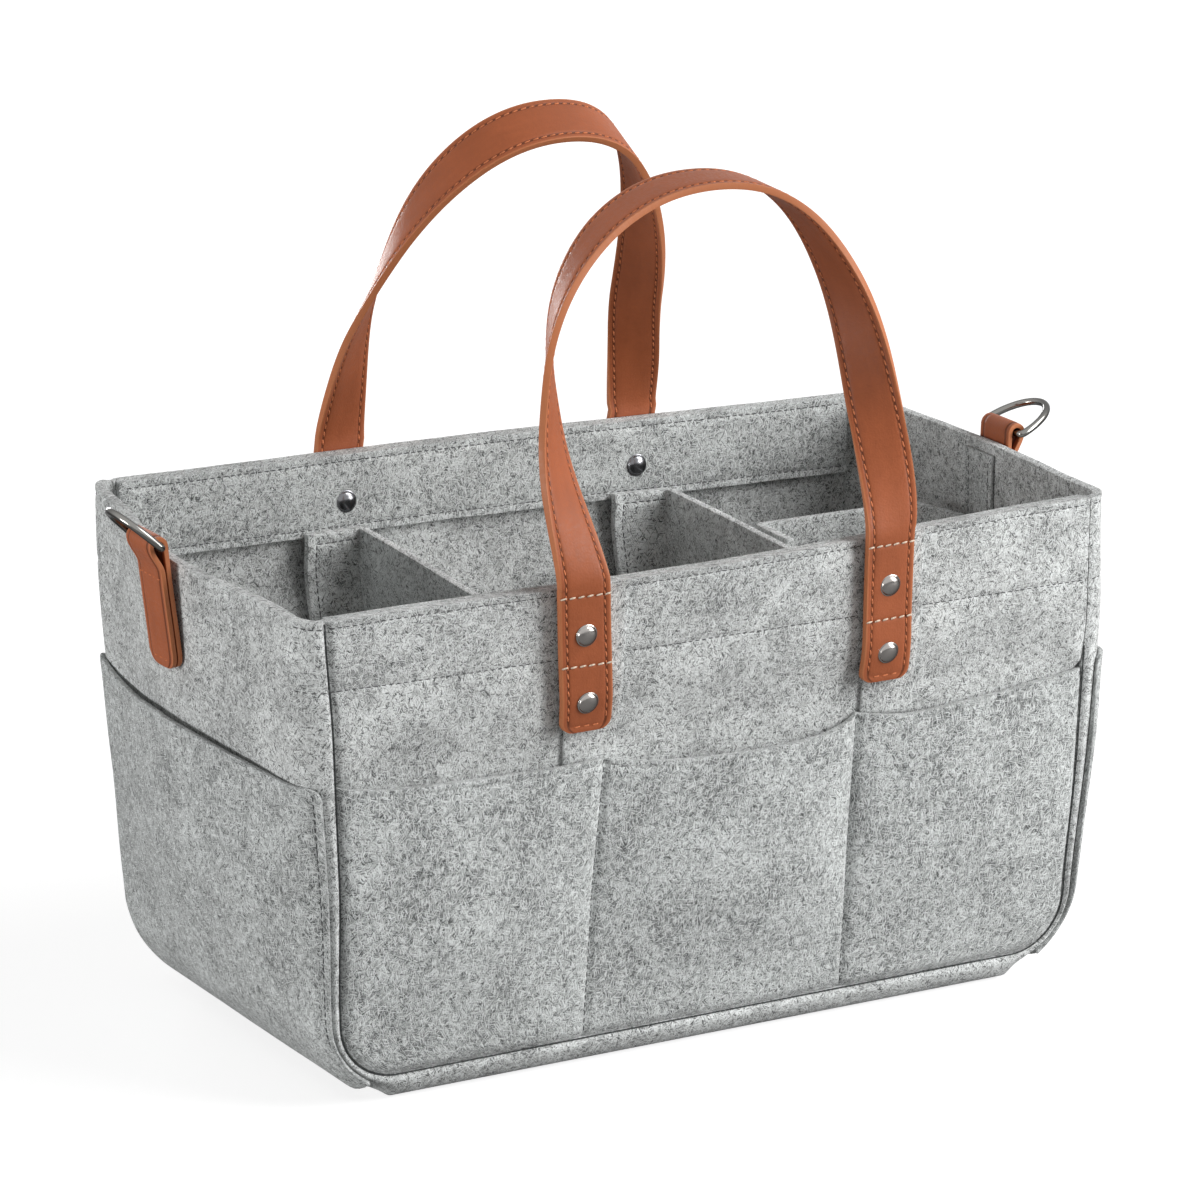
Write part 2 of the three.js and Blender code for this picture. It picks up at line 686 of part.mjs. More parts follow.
// The inside face of the right end, round its bottom corner too
function endInside(z) {
  if (z >= bottomRadius) return halfLengthAt(z) - wallFelt;
  const r = bottomRadius - wallFelt;
  return cornerCentreX + Math.sqrt(r ** 2 - (bottomRadius - z) ** 2);
}

const lengthLeft = rightDividerX + dividerFelt / 2 + flangeGap;

// The lengthwise divider, from the right cross divider to near the right end
function makeLengthDivider() {
  const back = lengthDividerY + dividerFelt / 2;
  const front = back - dividerFelt;
  const tip = back - lengthFlange;
  const zs = [...between(dividerBottom, bottomRadius, 5), ...between(bottomRadius, dividerTop, 2).slice(1)];
  const sections = zs.map((z) => {
    const corner = endInside(z) - lengthEndGap;
    const splayed = corner + lengthFlangeSplay;
    const outline = [[lengthLeft, back], [lengthLeft, tip], [lengthLeft + dividerFelt, tip],
      [lengthLeft + dividerFelt, front], [corner - dividerFelt, front], [splayed - dividerFelt, tip],
      [splayed, tip], [corner, back]];
    return outline.map(([x, y]) => new THREE.Vector3(x, y, z));
  });
  return loft(sections, sections[0].map((p) => new THREE.Vector2(p.x, p.y)));
}

function makeLengthHook(place) {
  const back = lengthDividerY + dividerFelt / 2;
  const ys = [back - lengthFlange + hookMargin, back - 2 * hookMargin];
  const zs = between(hookBottom, hookTop, 2);
  const face = (offset) => (y, z) => new THREE.Vector3(place(y, z) + offset, y, z);
  return sheet(ys, zs, face(0), face(hookFelt));
}

function buildDividers() {
  const cross = { left: leftDividerX, right: rightDividerX };
  for (const [name, x] of Object.entries(cross)) {
    add(`${name}_cross_divider`, makeCrossDivider(x), felt());
    for (const [face, side] of Object.entries(faces)) {
      add(`${name}_divider_${face}_hook_tape`, makeHook(side, x), hookTape());
    }
  }
  const back = lengthDividerY + dividerFelt / 2;
  const splayAt = (y) => lengthFlangeSplay * (back - y) / lengthFlange;
  add('lengthwise_divider', makeLengthDivider(), felt());
  add('lengthwise_divider_left_hook_tape', makeLengthHook(() => lengthLeft - fit - hookFelt), hookTape());
  const rightTape = makeLengthHook((y, z) => endInside(z) - lengthEndGap + splayAt(y) + fit);
  add('lengthwise_divider_right_hook_tape', rightTape, hookTape());
}

buildEndBand();
for (const [name, side] of Object.entries(faces)) buildWall(name, side);
for (const [name, sign] of Object.entries(tabSides)) buildRing(name, sign);
buildHandle('front', faces.front, frontLoop);
buildHandle('back', faces.back, backLoop);
buildDividers();

export default basket;
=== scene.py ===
# A felt organizer basket: its sewn felt, two leather handles, rings, rivets and dividers.
# Shapes are worked out in millimetres and set in metres. The front faces -Y.
import json
import math

import bpy
import numpy as np
from mathutils import Matrix, Vector


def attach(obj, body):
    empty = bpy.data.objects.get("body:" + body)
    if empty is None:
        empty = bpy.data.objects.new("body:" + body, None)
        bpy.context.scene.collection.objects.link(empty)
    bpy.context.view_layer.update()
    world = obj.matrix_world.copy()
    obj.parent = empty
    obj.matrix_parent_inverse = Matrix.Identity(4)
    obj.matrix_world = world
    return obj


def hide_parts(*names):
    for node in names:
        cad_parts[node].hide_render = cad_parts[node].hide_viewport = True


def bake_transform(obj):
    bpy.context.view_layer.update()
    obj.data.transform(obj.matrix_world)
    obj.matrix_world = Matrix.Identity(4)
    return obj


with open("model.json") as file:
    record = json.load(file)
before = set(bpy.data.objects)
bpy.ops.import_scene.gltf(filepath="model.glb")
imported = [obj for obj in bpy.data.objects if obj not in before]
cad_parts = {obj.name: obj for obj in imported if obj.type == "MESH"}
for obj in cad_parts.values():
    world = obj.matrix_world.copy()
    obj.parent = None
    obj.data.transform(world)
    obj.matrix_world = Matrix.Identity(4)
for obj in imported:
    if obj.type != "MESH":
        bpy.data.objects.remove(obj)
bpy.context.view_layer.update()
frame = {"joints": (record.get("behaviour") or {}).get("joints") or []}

MM = 0.001
JOINTS = {joint["name"]: joint for joint in frame["joints"]}
FRONT, BACK = -1, 1
LEFT, RIGHT = -1, 1
SIDES = {"front": FRONT, "back": BACK}
ENDS = {"left": LEFT, "right": RIGHT}

# Basket
RIM_LENGTH, RIM_DEPTH = 360, 190
BASE_LENGTH, BASE_DEPTH = 344, 178
RIM_HEIGHT = 200
UPRIGHT_RADIUS = 12  # the end band's edge, turned towards the front or back seam
BOTTOM_RADIUS = 36  # the end band's turn from an end into the base
END_BOW = {LEFT: 10.3, RIGHT: 3.0}  # how far each end swells out at the rim
CORNER_CUT = {LEFT: 2.8, RIGHT: 4.4}  # how much flatter its turn into the base is
END_DRAW = {  # how far each end is drawn in, by height
    LEFT: ((36, 5.2), (100, 3.6), (125, 2.1), (145, 0.4), (175, 1.3), (200, 2.2)),
    RIGHT: ((36, 5.6), (60, 3.6), (100, 0.9), (125, -0.6), (150, -1.4), (180, 0.9), (200, 1.3)),
}
SEAM_SHIFT = 2.2  # the front panel sits this much to the right between its seams
BACK_BOW = 3.5
FRONT_BOW = (0.5, -0.099, 6.6e-4)  # the front is hollow at half height and full at the rim
REST_TWIST, REST_RIGHT, REST_BACK = -2.8, -1.7, 3.2  # how unevenly the soft rim stands at its ends

# Felt
WALL_FELT = 4
POCKET_FELT = 3
FACING_FELT = 3
STRIP_FELT = 1.6
DIVIDER_FELT = 3.5
HOOK_FELT = 2
FIT = 0.3
SEAM_INSET = UPRIGHT_RADIUS + FIT
SEAM_DEPTH = 1.6  # how far the felt rolls in at a seam
SEAM_ROLL = 3.0  # width of that roll
CLOSED_FROM, CLOSED_OVER = 134, 14  # the height at which the right seams begin to close, and its rise
CUT_EDGE = 0.4  # rounding of a cut felt edge
GRID = 3.2  # spacing of a felt mesh

# Stitched lines and pockets
RIM_LINE = 2.7  # below the rim
FACING_LINE = 31  # below the rim at the middle of the front
RIM_LEVEL = RIM_HEIGHT - RIM_LINE
FACING_LEVEL = RIM_HEIGHT - FACING_LINE
FACING_LINE_TURN = {FRONT: (0, 3 / 170), BACK: (2.4, 0.004)}  # how far it is raised, and falls to the right
FACING_BELOW_LINE = 3
END_X = 170  # where the ends read the facing's line
TUCK = POCKET_FELT + FIT  # how far a wall lies back behind its pocket panel
TUCK_END, TUCK_FADE = 132, 26
SEAM_TUCK_FADE, SEAM_TUCK_REACH = 5, 16  # the same fade beside a seam, and how far that reaches
SLANT_FROM = 140  # from here up a wall's rows bend to follow the facing's line
POCKET_RISE = 55
POCKET_LINES = {  # the stitched lines' x at the base and at the mouths
    FRONT: ((-58, -48), (57.6, 64)),
    BACK: ((-52, -52), (52, 52)),
}
MOUTHS = {  # each pocket's mouth: share of its width, height
    FRONT: (
        ((0, 132.8), (0.1, 130.3), (0.25, 128.8), (0.5, 127.7), (0.75, 126.1), (1, 125.9)),
        ((0, 126.4), (0.14, 122.3), (0.28, 120.7), (0.5, 120.2), (0.7, 120.3), (0.85, 121.1),
         (0.93, 122.3), (1, 125.8)),
        ((0, 126.2), (0.14, 123.4), (0.23, 122.6), (0.36, 123.7), (0.6, 125.8), (0.8, 127.2), (1, 129)),
    ),
    BACK: (
        ((0, 131), (0.5, 126.5), (1, 127)),
        ((0, 127), (0.5, 124.5), (1, 127)),
        ((0, 127), (0.5, 126.5), (1, 131)),
    ),
}
POCKET_GAPS = {  # how far each pocket stands off, and a power that moves its fullest place
    FRONT: ((3.1, 1.0), (6.3, 1.45), (3.2, 1.0)),
    BACK: ((2.2, 1.0), (2.6, 1.0), (2.2, 1.0)),
}
POCKET_SWELL, POCKET_SWELL_SPAN = 2.6, (12, 124)  # the swell, and the heights between which it lies
LEFT_MOUTH = ((-86, 134.6), (-78, 133.2), (-66, 132.9), (-50, 133.6), (-32, 135.0), (-4, 135.6), (17, 134.2),
              (43, 131.2), (66, 130.4), (86, 134.8))
RIGHT_MOUTH, RIGHT_MOUTH_DIP = 134, 3.5
PATCH_WRAP = 60 / 90  # how far an end pocket goes round the upright corner
PATCH_STITCH = 3.0  # its stitches from its cut edge
PATCH_CORNER = 5.0
PATCH_GAP = 2.6
PATCH_SWELL, PATCH_SWELL_SPAN = 3.8, (10, 130)

# Leather strap
HALF_STRAP = 21.2 / 2  # of the handles and the ring tabs alike
STRAP_THICKNESS = 3.0
STRAP_SPAN = 67
STRAP_EDGE = 2.5  # its stitches from its edge
STRIP_WIDTH = 22.8
STRIP_SHIFT = 4.2  # the felt strip shows beside its tab
STRIP_EDGE = 3  # an end strip's stitches from its edge
TAB_BOTTOM = 137.4
TAB_CORNER = 5
STRIP_OFFSET = FIT + STRIP_FELT
TAB_OFFSET = STRIP_OFFSET + FIT
LEATHER_PITCH = 3.6
RIVET_HEIGHTS = {"upper": 178.4, "lower": 150.2}
BACK_RIVET_RISE = 3
HANDLES = {  # roll is how far the front edge of the strap dips at the top of the loop
    "front": dict(
        side=FRONT, spread=10, shoulder=82, crown=61, height=144, lean=15, roll=5, straight=138,
        tabs={LEFT: -58.9, RIGHT: 73.4}, feet={LEFT: -64.1, RIGHT: 70.8},
        sway={LEFT: ((0, 0), (45, -1.6), (66, -0.7), (90, -1.5), (118, 1.2), (137, 5.6), (144, 6.2)),
              RIGHT: ((0, 0), (30, -0.9), (64, -0.3), (90, 1.1), (118, 2.2), (137, 5.2), (144, 6.2))}),
    "back": dict(
        side=BACK, spread=-3.5, shoulder=91, crown=50, height=154, lean=27, roll=35, straight=184,
        tabs={LEFT: -66.6, RIGHT: 67.2}, feet={LEFT: -62.8, RIGHT: 71.6},
        sway={LEFT: ((0, 0), (40, -0.2), (68, -1.4), (115, -2.4), (145, 0.8), (154, 1.6)),
              RIGHT: ((0, -0.4), (20, 0), (50, -0.5), (80, -0.8), (120, -1.2), (145, 0.8), (154, 1.6))}),
}
LOOP_EASE = 62  # over which a loop's legs come over to their feet
LOOP_STIFF = 9.0  # over which a loop turns from the wall into its lean
TWIST_POWER = 1.25  # how a strap's turn out of the wall's plane is shared out over its rise
INNER_STITCHES = 66  # where the stitches on the strap's inner side begin

# Rings
RING_WIRE = 3
RING_HALF = 14
RING_REACH = {LEFT: 19, RIGHT: 20.3}
RING_CORNER = 1.6
RING_TILT = {LEFT: 43, RIGHT: 23}
RING_TAB_BOTTOM = {LEFT: 159, RIGHT: 155}
RING_TAB_CORNER = 6
LOOP_LEATHER = 2.2
LOOP_BORE = RING_WIRE / 2 + 0.35
LOOP_TAPER = 11
LOOP_GROOVE = 2.2  # from the leather's edge
BAR_OUT = FIT + LOOP_BORE + LOOP_LEATHER

# Dividers
DIVIDER_X = {"left": -61, "right": 80}
DIVIDER_BOTTOM, DIVIDER_TOP = 5, 171.2
DIVIDER_STITCH = 4  # a divider's stitches from its edge
FLANGE = 27
FLANGE_GAP = HOOK_FELT + 2 * FIT
DIVIDER_LEAN = 1.4  # how far a flange leans in at its top, past the facing
LEAN_FROM, LEAN_OVER = 158, 9
FOLD = 4.2  # outer radius of a divider's fold
FLANGE_FLAT = FLANGE - FOLD
HOOK_MARGIN = 3.5
HOOK_BOTTOM, HOOK_TOP = 40, 135
LENGTH_LEFT = DIVIDER_X["right"] + DIVIDER_FELT / 2 + FLANGE_GAP
LENGTH_BACK = 23 + DIVIDER_FELT / 2  # the lengthwise divider's back face
LENGTH_END_GAP = 13
LENGTH_SPLAY = 6


# Shape of the basket

def smooth(t):
    """A soft step from 0 to 1."""
    t = np.clip(t, 0, 1)
    return t * t * (3 - 2 * t)


def softened(at, knots, reach):
    """Straight runs between knots of (place, value), rounded over a reach."""
    places, values = np.array(knots, float).T
    at = np.clip(at, places[0], places[-1])
    reach = np.minimum(reach, np.minimum(at - places[0], places[-1] - at))
    return np.mean([np.interp(at + reach * d, places, values) for d in np.linspace(-1, 1, 9)], axis=0)


def joined(*parts):
    """Points from their separate coordinates."""
    return np.stack(np.broadcast_arrays(*parts), axis=-1)


def unit(vectors):
    return vectors / np.maximum(np.linalg.norm(vectors, axis=-1, keepdims=True), 1e-9)


def alike(direction, places):
    """One direction for all the places."""
    return np.tile(np.array(direction, float), (len(places), 1))


def run_length(points):
    """How far along a line each of its points lies."""
    return np.concatenate([[0], np.cumsum(np.linalg.norm(np.diff(points, axis=0), axis=1))])


def sampled(at, length, line):
    """The points of a line at some distances along it."""
    return joined(*(np.interp(at, length, values) for values in line.T))


def swell(t):
    """A soft hump: 1 at 0, and 0 from 1 on, either way."""
    return np.where(np.abs(t) < 1, np.cos(np.pi * np.clip(t, -1, 1) / 2) ** 2, 0)


def half_length(z):
    return (BASE_LENGTH + (RIM_LENGTH - BASE_LENGTH) * z / RIM_HEIGHT) / 2


def half_depth(z):
    return (BASE_DEPTH + (RIM_DEPTH - BASE_DEPTH) * z / RIM_HEIGHT) / 2


def slope_of_rest(x, y):
    """How much higher or lower the rim stands over each place of the base, because the felt is soft."""
    along, across = x / (RIM_LENGTH / 2), y / (RIM_DEPTH / 2)
    return REST_TWIST * along * across + REST_RIGHT * along + REST_BACK * across


def settle(x, y, z):
    """These points as the photographed basket stands, a little low at its front right."""
    return joined(x, y, z + slope_of_rest(x, y) * np.clip(z, 0, RIM_HEIGHT) / RIM_HEIGHT)


def unsettled(x, y, z):
    """The height that settle takes to z."""
    return z / (1 + slope_of_rest(x, y) / RIM_HEIGHT)


def ripple(x, z):
    """The small unevenness of a felt face."""
    wide = np.sin(x / 13.6 + 1.1 * np.sin(z / 22)) * np.sin(z / 16.5 + 0.7)
    return 0.34 * wide + 0.14 * np.sin(x / 6.1 + z / 9.7)


def long_face(side, x, z):
    """Distance of the front or back wall's outer face from the middle, without its tuck."""
    if side == FRONT:
        bow = FRONT_BOW[0] + FRONT_BOW[1] * z + FRONT_BOW[2] * z ** 2
    else:
        bow = BACK_BOW * z / RIM_HEIGHT
    return half_depth(z) + bow * swell(x / (half_length(z) - UPRIGHT_RADIUS)) + ripple(x, z)


def wall_face(side, x, z):
    """The same with its tuck, which ends lower and faster beside the seams."""
    by_seam = 1 - smooth(seam_distance(side, x, z) / SEAM_TUCK_REACH)
    fade = TUCK_FADE + (SEAM_TUCK_FADE - TUCK_FADE) * by_seam
    end = TUCK_END + (mouth_at(side, x) - 1 - TUCK_END) * by_seam
    return long_face(side, x, z) - TUCK * smooth((end + fade - z) / fade)


CORNER_X = half_length(BOTTOM_RADIUS) - BOTTOM_RADIUS
PANEL_CORNER = BOTTOM_RADIUS - SEAM_INSET
BAND_CORNER = CORNER_X + BOTTOM_RADIUS * math.pi / 2  # where the band's turn ends, along it
BAND_HALF = BAND_CORNER + RIM_HEIGHT - BOTTOM_RADIUS


def panel_half_width(z):
    """Half the width of the front and back panels at a height."""
    low = CORNER_X + np.sqrt(np.clip(PANEL_CORNER ** 2 - (BOTTOM_RADIUS - z) ** 2, 0, None))
    return np.where(z >= BOTTOM_RADIUS, half_length(z) - SEAM_INSET, low)


def seam_shift(side, z):
    """How far the seams at a panel's edges lie to the right of their places."""
    level = smooth((z - BOTTOM_RADIUS) / 60) * (1 - 0.75 * smooth((z - 150) / 50))
    return SEAM_SHIFT * level if side == FRONT else 0 * level


def seam_distance(side, x, z):
    """How far a place on the front or back is from the seam that runs round it."""
    x = x - seam_shift(side, z)
    beyond = np.clip(np.abs(x) - CORNER_X, 0, None)
    low = PANEL_CORNER - np.hypot(beyond, BOTTOM_RADIUS - z)
    return np.clip(np.where(z >= BOTTOM_RADIUS, panel_half_width(z) - np.abs(x), low), 0, None)


def roll(distance, right, z):
    """How far felt rolls in beside a seam; the right seams are closed above the pockets."""
    closed = np.where(right, smooth((z - CLOSED_FROM) / CLOSED_OVER), 0)
    return SEAM_DEPTH * (1 - 0.85 * closed) * (1 - smooth(distance / SEAM_ROLL))


def pinch(distance, depth=0.5, width=1.1):
    """How deep stitches draw a face in, at a distance from them."""
    return depth * np.exp(-(distance / width) ** 2)


def rim_line(_, x):
    """The height of the stitches along the rim, the same on every side."""
    return np.full_like(np.asarray(x, float), RIM_LEVEL)


def facing_line(side, x):
    """The height of the stitches that hold the facing."""
    rise, slope = FACING_LINE_TURN[side]
    return FACING_LEVEL + rise - slope * np.asarray(x, float)


def line_pinches(side, x, z):
    """The same beside the rim's and the facing's stitches."""
    return pinch(z - rim_line(side, x)) + pinch(z - facing_line(side, x))


def wall_point(side, x, z, offset):
    """A point of the front or back wall, an offset in from its outer face."""
    return settle(x, side * (wall_face(side, x, z) - offset), z)


def band_station(q):
    """A place along the band's outline: q runs from the left rim, under the base, to the right rim."""
    side = np.where(q < 0, -1.0, 1.0)
    run = np.abs(q)
    turn = np.clip((run - CORNER_X) / BOTTOM_RADIUS, 0, np.pi / 2)
    rise = np.clip(run - BAND_CORNER, 0, None)
    z = BOTTOM_RADIUS * (1 - np.cos(turn)) + rise
    x = np.where(rise > 0, half_length(z), np.minimum(run, CORNER_X) + BOTTOM_RADIUS * np.sin(turn))
    bow = np.where(q < 0, END_BOW[LEFT], END_BOW[RIGHT]) * z / RIM_HEIGHT * np.sin(turn)
    return side * x, z, -side * np.sin(turn), np.cos(turn), half_depth(z), bow


def end_draw(end, z):
    """How far the limp end wall is drawn in at a height."""
    return np.where(end < 0, softened(z, END_DRAW[LEFT], 14), softened(z, END_DRAW[RIGHT], 14))


def band_height(side, z):
    """The place along the band where an end has height z."""
    return side * (BAND_CORNER + z - BOTTOM_RADIUS)


def band_point(q, c, offset):
    """A point of the band: c is -1 to 1 over its flat width, and up to 2 round a turned edge."""
    x, z, inward_x, inward_z, depth, bow = band_station(q)
    flat_half = depth - UPRIGHT_RADIUS
    angle = np.clip(np.abs(c) - 1, 0, 1.2) * np.pi / 2
    radius = UPRIGHT_RADIUS - offset
    y = np.where(np.abs(c) <= 1, c * flat_half, np.sign(c) * (flat_half + radius * np.sin(angle)))
    wave = ripple(y + 40, z) * np.clip(z / 60, 0, 1)
    inward = np.where(np.abs(c) <= 1, offset, UPRIGHT_RADIUS - radius * np.cos(angle))
    inward = inward - bow * swell(c) - wave * np.clip(2 - np.abs(c), 0, 1)
    turned = np.abs(inward_x) ** 0.7
    cut = np.where(q < 0, CORNER_CUT[LEFT], CORNER_CUT[RIGHT])
    drawn = end_draw(np.sign(q), z) * turned + cut * 1.7 * np.abs(inward_x) ** 0.6 * inward_z
    inward = inward + drawn * (1 - smooth((np.abs(c) - 1.3) / 0.7))
    inward = inward + np.where(c < 0, seam_shift(FRONT, z) * inward_x * smooth(np.abs(c) - 1), 0)
    return settle(x + inward_x * inward, y, z + inward_z * inward)


def band_seam_distance(c):
    return UPRIGHT_RADIUS * (2 - np.abs(c)) * np.pi / 2


# Mesh making

NEAR_MARK = (-2.6, -1.4, -0.7, 0, 0.7, 1.4, 2.6)


def spaced(start, end, *marks, step=GRID):
    """Values about a step apart, closer together beside each mark."""
    plain = np.linspace(start, end, max(2, round((end - start) / step) + 1))
    kept = [v for v in plain[1:-1] if all(abs(v - mark) > 3.2 for mark in marks)]
    near = [mark + d for mark in marks for d in NEAR_MARK if start + 0.2 < mark + d < end - 0.2]
    return np.unique(np.round([start, end, *kept, *near], 4))


def deselect():
    for other in bpy.context.selected_objects:
        other.select_set(False)


def make_active(piece):
    deselect()
    piece.select_set(True)
    bpy.context.view_layer.objects.active = piece


def shade_smooth(piece):
    make_active(piece)
    bpy.ops.object.shade_smooth()


def primitive(add, name, **settings):
    """A new mesh made by one of the primitive operators."""
    deselect()
    add(**settings)
    piece = bpy.context.active_object
    piece.name = piece.data.name = name
    return piece


def put_in_scene(thing):
    bpy.context.scene.collection.objects.link(thing)
    return thing


def read_points(mesh):
    flat = np.empty(3 * len(mesh.vertices))
    mesh.vertices.foreach_get("co", flat)
    return flat.reshape(-1, 3)


def write_points(mesh, points):
    mesh.vertices.foreach_set("co", np.ascontiguousarray(points, float).ravel())
    mesh.update()


def modify(piece, kind, **settings):
    make_active(piece)
    modifier = piece.modifiers.new(kind.lower(), kind)
    for key, value in settings.items():
        setattr(modifier, key, value)
    bpy.ops.object.modifier_apply(modifier=modifier.name)


def face_outwards(piece):
    make_active(piece)
    bpy.ops.object.mode_set(mode="EDIT")
    bpy.ops.mesh.select_all(action="SELECT")
    bpy.ops.mesh.normals_make_consistent(inside=False)
    bpy.ops.object.mode_set(mode="OBJECT")


def laid_flat(columns, rows, face):
    """Where every column and row lies when the sheet is laid flat."""
    grid = [part.ravel() for part in np.meshgrid(columns, rows, indexing="ij")]
    points = face(*grid, np.zeros(len(grid[0]))).reshape(len(columns), len(rows), 3)
    across = np.linalg.norm(np.diff(points, axis=0), axis=2).mean(axis=1)
    along = np.linalg.norm(np.diff(points, axis=1), axis=2).mean(axis=0)
    return [np.concatenate([[0], np.cumsum(steps)]) for steps in (across, along)]


def set_pattern(piece, across, along):
    """Lays the piece's UV map in metres, so that hairs and grain follow the sheet."""
    mesh = piece.data
    corners = np.empty(len(mesh.loops), int)
    mesh.loops.foreach_get("vertex_index", corners)
    places = joined(across[corners], along[corners]) * MM
    mesh.uv_layers[0].data.foreach_set("uv", places.ravel())


def shell(name, columns, rows, face, rounding=CUT_EDGE, segments=2, strap=False):
    """A grid with two faces: face(column, row, depth) gives its points, depth 0 outside and 1 inside."""
    columns, rows = np.asarray(columns, float), np.asarray(rows, float)
    nu, nv = len(columns) - 1, len(rows) - 1
    piece = primitive(bpy.ops.mesh.primitive_grid_add, name, x_subdivisions=nu, y_subdivisions=nv, size=2)
    modify(piece, "SOLIDIFY", thickness=1, offset=-1)
    at = read_points(piece.data)
    i = np.rint((at[:, 0] + 1) / 2 * nu).astype(int)
    j = np.rint((at[:, 1] + 1) / 2 * nv).astype(int)
    depth = np.clip(-at[:, 2], 0, 1)
    write_points(piece.data, face(columns[i], rows[j], depth) * MM)
    across, along = (columns, rows) if strap else laid_flat(columns, rows, face)
    over_edge = 0 if strap else WALL_FELT * depth
    set_pattern(piece, across[i] + over_edge, along[j] + over_edge)
    face_outwards(piece)
    if rounding:
        modify(piece, "BEVEL", width=rounding * MM, segments=segments, limit_method="ANGLE",
               angle_limit=math.radians(50))
    shade_smooth(piece)
    return piece


def lathe(name, profile):
    """A ball whose rings are moved onto a profile of (radius, height) from its top to its foot."""
    last = len(profile) - 1
    piece = primitive(bpy.ops.mesh.primitive_uv_sphere_add, name, segments=28, ring_count=last, radius=1)
    at = read_points(piece.data)
    ring = np.rint(np.arccos(np.clip(at[:, 2], -1, 1)) / np.pi * last).astype(int)
    around = np.arctan2(at[:, 1], at[:, 0])
    radius, height = np.array(profile, float)[ring].T
    write_points(piece.data, joined(radius * np.cos(around), radius * np.sin(around), height) * MM)
    shade_smooth(piece)
    return piece


def stand_on(piece, foot, normal):
    """Turns a lathed piece's mesh so that its axis follows the normal, and sets it at its foot."""
    turn = Vector((0, 0, 1)).rotation_difference(Vector(normal)).to_matrix().to_4x4()
    piece.data.transform(Matrix.Translation(Vector(foot) * MM) @ turn)


def dress(piece, material, body, slot, *nodes):
    piece.data.materials.clear()
    piece.data.materials.append(material)
    if body:
        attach(piece, body)
    if nodes:
        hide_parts(*nodes)


def felt_piece(node, material, columns, rows, face, body="basket", **settings):
    """A felt sheet that takes the place of one node and carries its name."""
    dress(shell(f"felt_{node}", columns, rows, face, **settings), material, body, "felt", node)


# Thread

def stitch_line(place, start, end, pitch=3.0, slant=0.0, sunk=0.12):
    """Stitches along a line: place(t) gives its points and outward directions for t from start to end."""
    points, normals = place(np.linspace(start, end, 400))
    length = run_length(points)
    count = max(1, int(length[-1] / pitch))
    at = (np.arange(count) + 0.5) * length[-1] / count
    along = np.gradient(points, axis=0)
    centre, normal, tangent = (sampled(at, length, line) for line in (points, normals, along))
    normal, tangent = unit(normal), unit(tangent)
    tangent = unit(tangent + math.tan(math.radians(slant)) * np.cross(normal, tangent))
    return centre - sunk * normal, tangent, normal


def thread(name, lines, stitch=2.3, radius=0.32):
    """One mesh of all the stitches of these lines, each a small copy of one rounded bead."""
    bead = primitive(bpy.ops.mesh.primitive_uv_sphere_add, "bead", segments=6, ring_count=4, radius=1)
    shape = read_points(bead.data)
    shape = np.sign(shape) * np.abs(shape) ** 0.85
    faces = [list(polygon.vertices) for polygon in bead.data.polygons]
    bpy.data.objects.remove(bead)
    centre, tangent, normal = (np.concatenate([line[k] for line in lines]) for k in range(3))
    across = np.cross(normal, tangent)
    points = (centre[:, None, :] + shape[None, :, 2:3] * tangent[:, None, :] * stitch / 2
              + shape[None, :, 0:1] * across[:, None, :] * radius
              + shape[None, :, 1:2] * normal[:, None, :] * radius)
    mesh = bpy.data.meshes.new(name)
    size = len(shape)
    everywhere = [[size * k + v for v in face] for k in range(len(centre)) for face in faces]
    mesh.from_pydata((points.reshape(-1, 3) * MM).tolist(), [], everywhere)
    piece = put_in_scene(bpy.data.objects.new(name, mesh))
    face_outwards(piece)
    shade_smooth(piece)
    return piece


# Materials

def srgb(red, green, blue):
    def linear(value):
        value /= 255
        return value / 12.92 if value <= 0.04045 else ((value + 0.055) / 1.055) ** 2.4
    return linear(red), linear(green), linear(blue), 1.0


def add_node(tree, kind, inputs=None, **settings):
    node = tree.nodes.new(kind)
    for key, value in settings.items():
        setattr(node, key, value)
    for key, value in (inputs or {}).items():
        if isinstance(value, bpy.types.NodeSocket):
            tree.links.new(value, node.inputs[key])
        else:
            node.inputs[key].default_value = value
    return node


def noise(tree, place, scale, detail=2.0, roughness=0.5, distortion=0.0):
    node = add_node(tree, "ShaderNodeTexNoise", {"Vector": place, "Scale": scale, "Detail": detail,
                                                 "Roughness": roughness, "Distortion": distortion})
    return node.outputs["Fac"]


def ramp(tree, value, low, high, bottom=0.0, top=1.0):
    node = add_node(tree, "ShaderNodeMapRange", {"Value": value, "From Min": low, "From Max": high,
                                                 "To Min": bottom, "To Max": top},
                    interpolation_type="SMOOTHSTEP")
    return node.outputs["Result"]


def calc(tree, operation, first, second=0.0):
    return add_node(tree, "ShaderNodeMath", {0: first, 1: second}, operation=operation).outputs[0]


def mix(tree, factor, first, second):
    return add_node(tree, "ShaderNodeMix", {0: factor, 6: first, 7: second}, data_type="RGBA").outputs[2]


def scaled_color(tree, color, factor):
    node = add_node(tree, "ShaderNodeVectorMath", {0: color, "Scale": factor}, operation="SCALE")
    return node.outputs[0]


def moved(tree, place, shift, scale=(1, 1, 1)):
    node = add_node(tree, "ShaderNodeMapping", {"Vector": place, "Location": shift, "Scale": scale})
    return node.outputs["Vector"]


def connect(tree, node, sources):
    for title, socket in sources.items():
        tree.links.new(socket, node.inputs[title])


def new_group(name, inputs, outputs):
    tree = bpy.data.node_groups.new(name, "ShaderNodeTree")
    for way, sockets in (("INPUT", inputs), ("OUTPUT", outputs)):
        for title, kind in sockets.items():
            tree.interface.new_socket(name=title, in_out=way, socket_type="NodeSocket" + kind)
    return tree, tree.nodes.new("NodeGroupInput").outputs, tree.nodes.new("NodeGroupOutput")


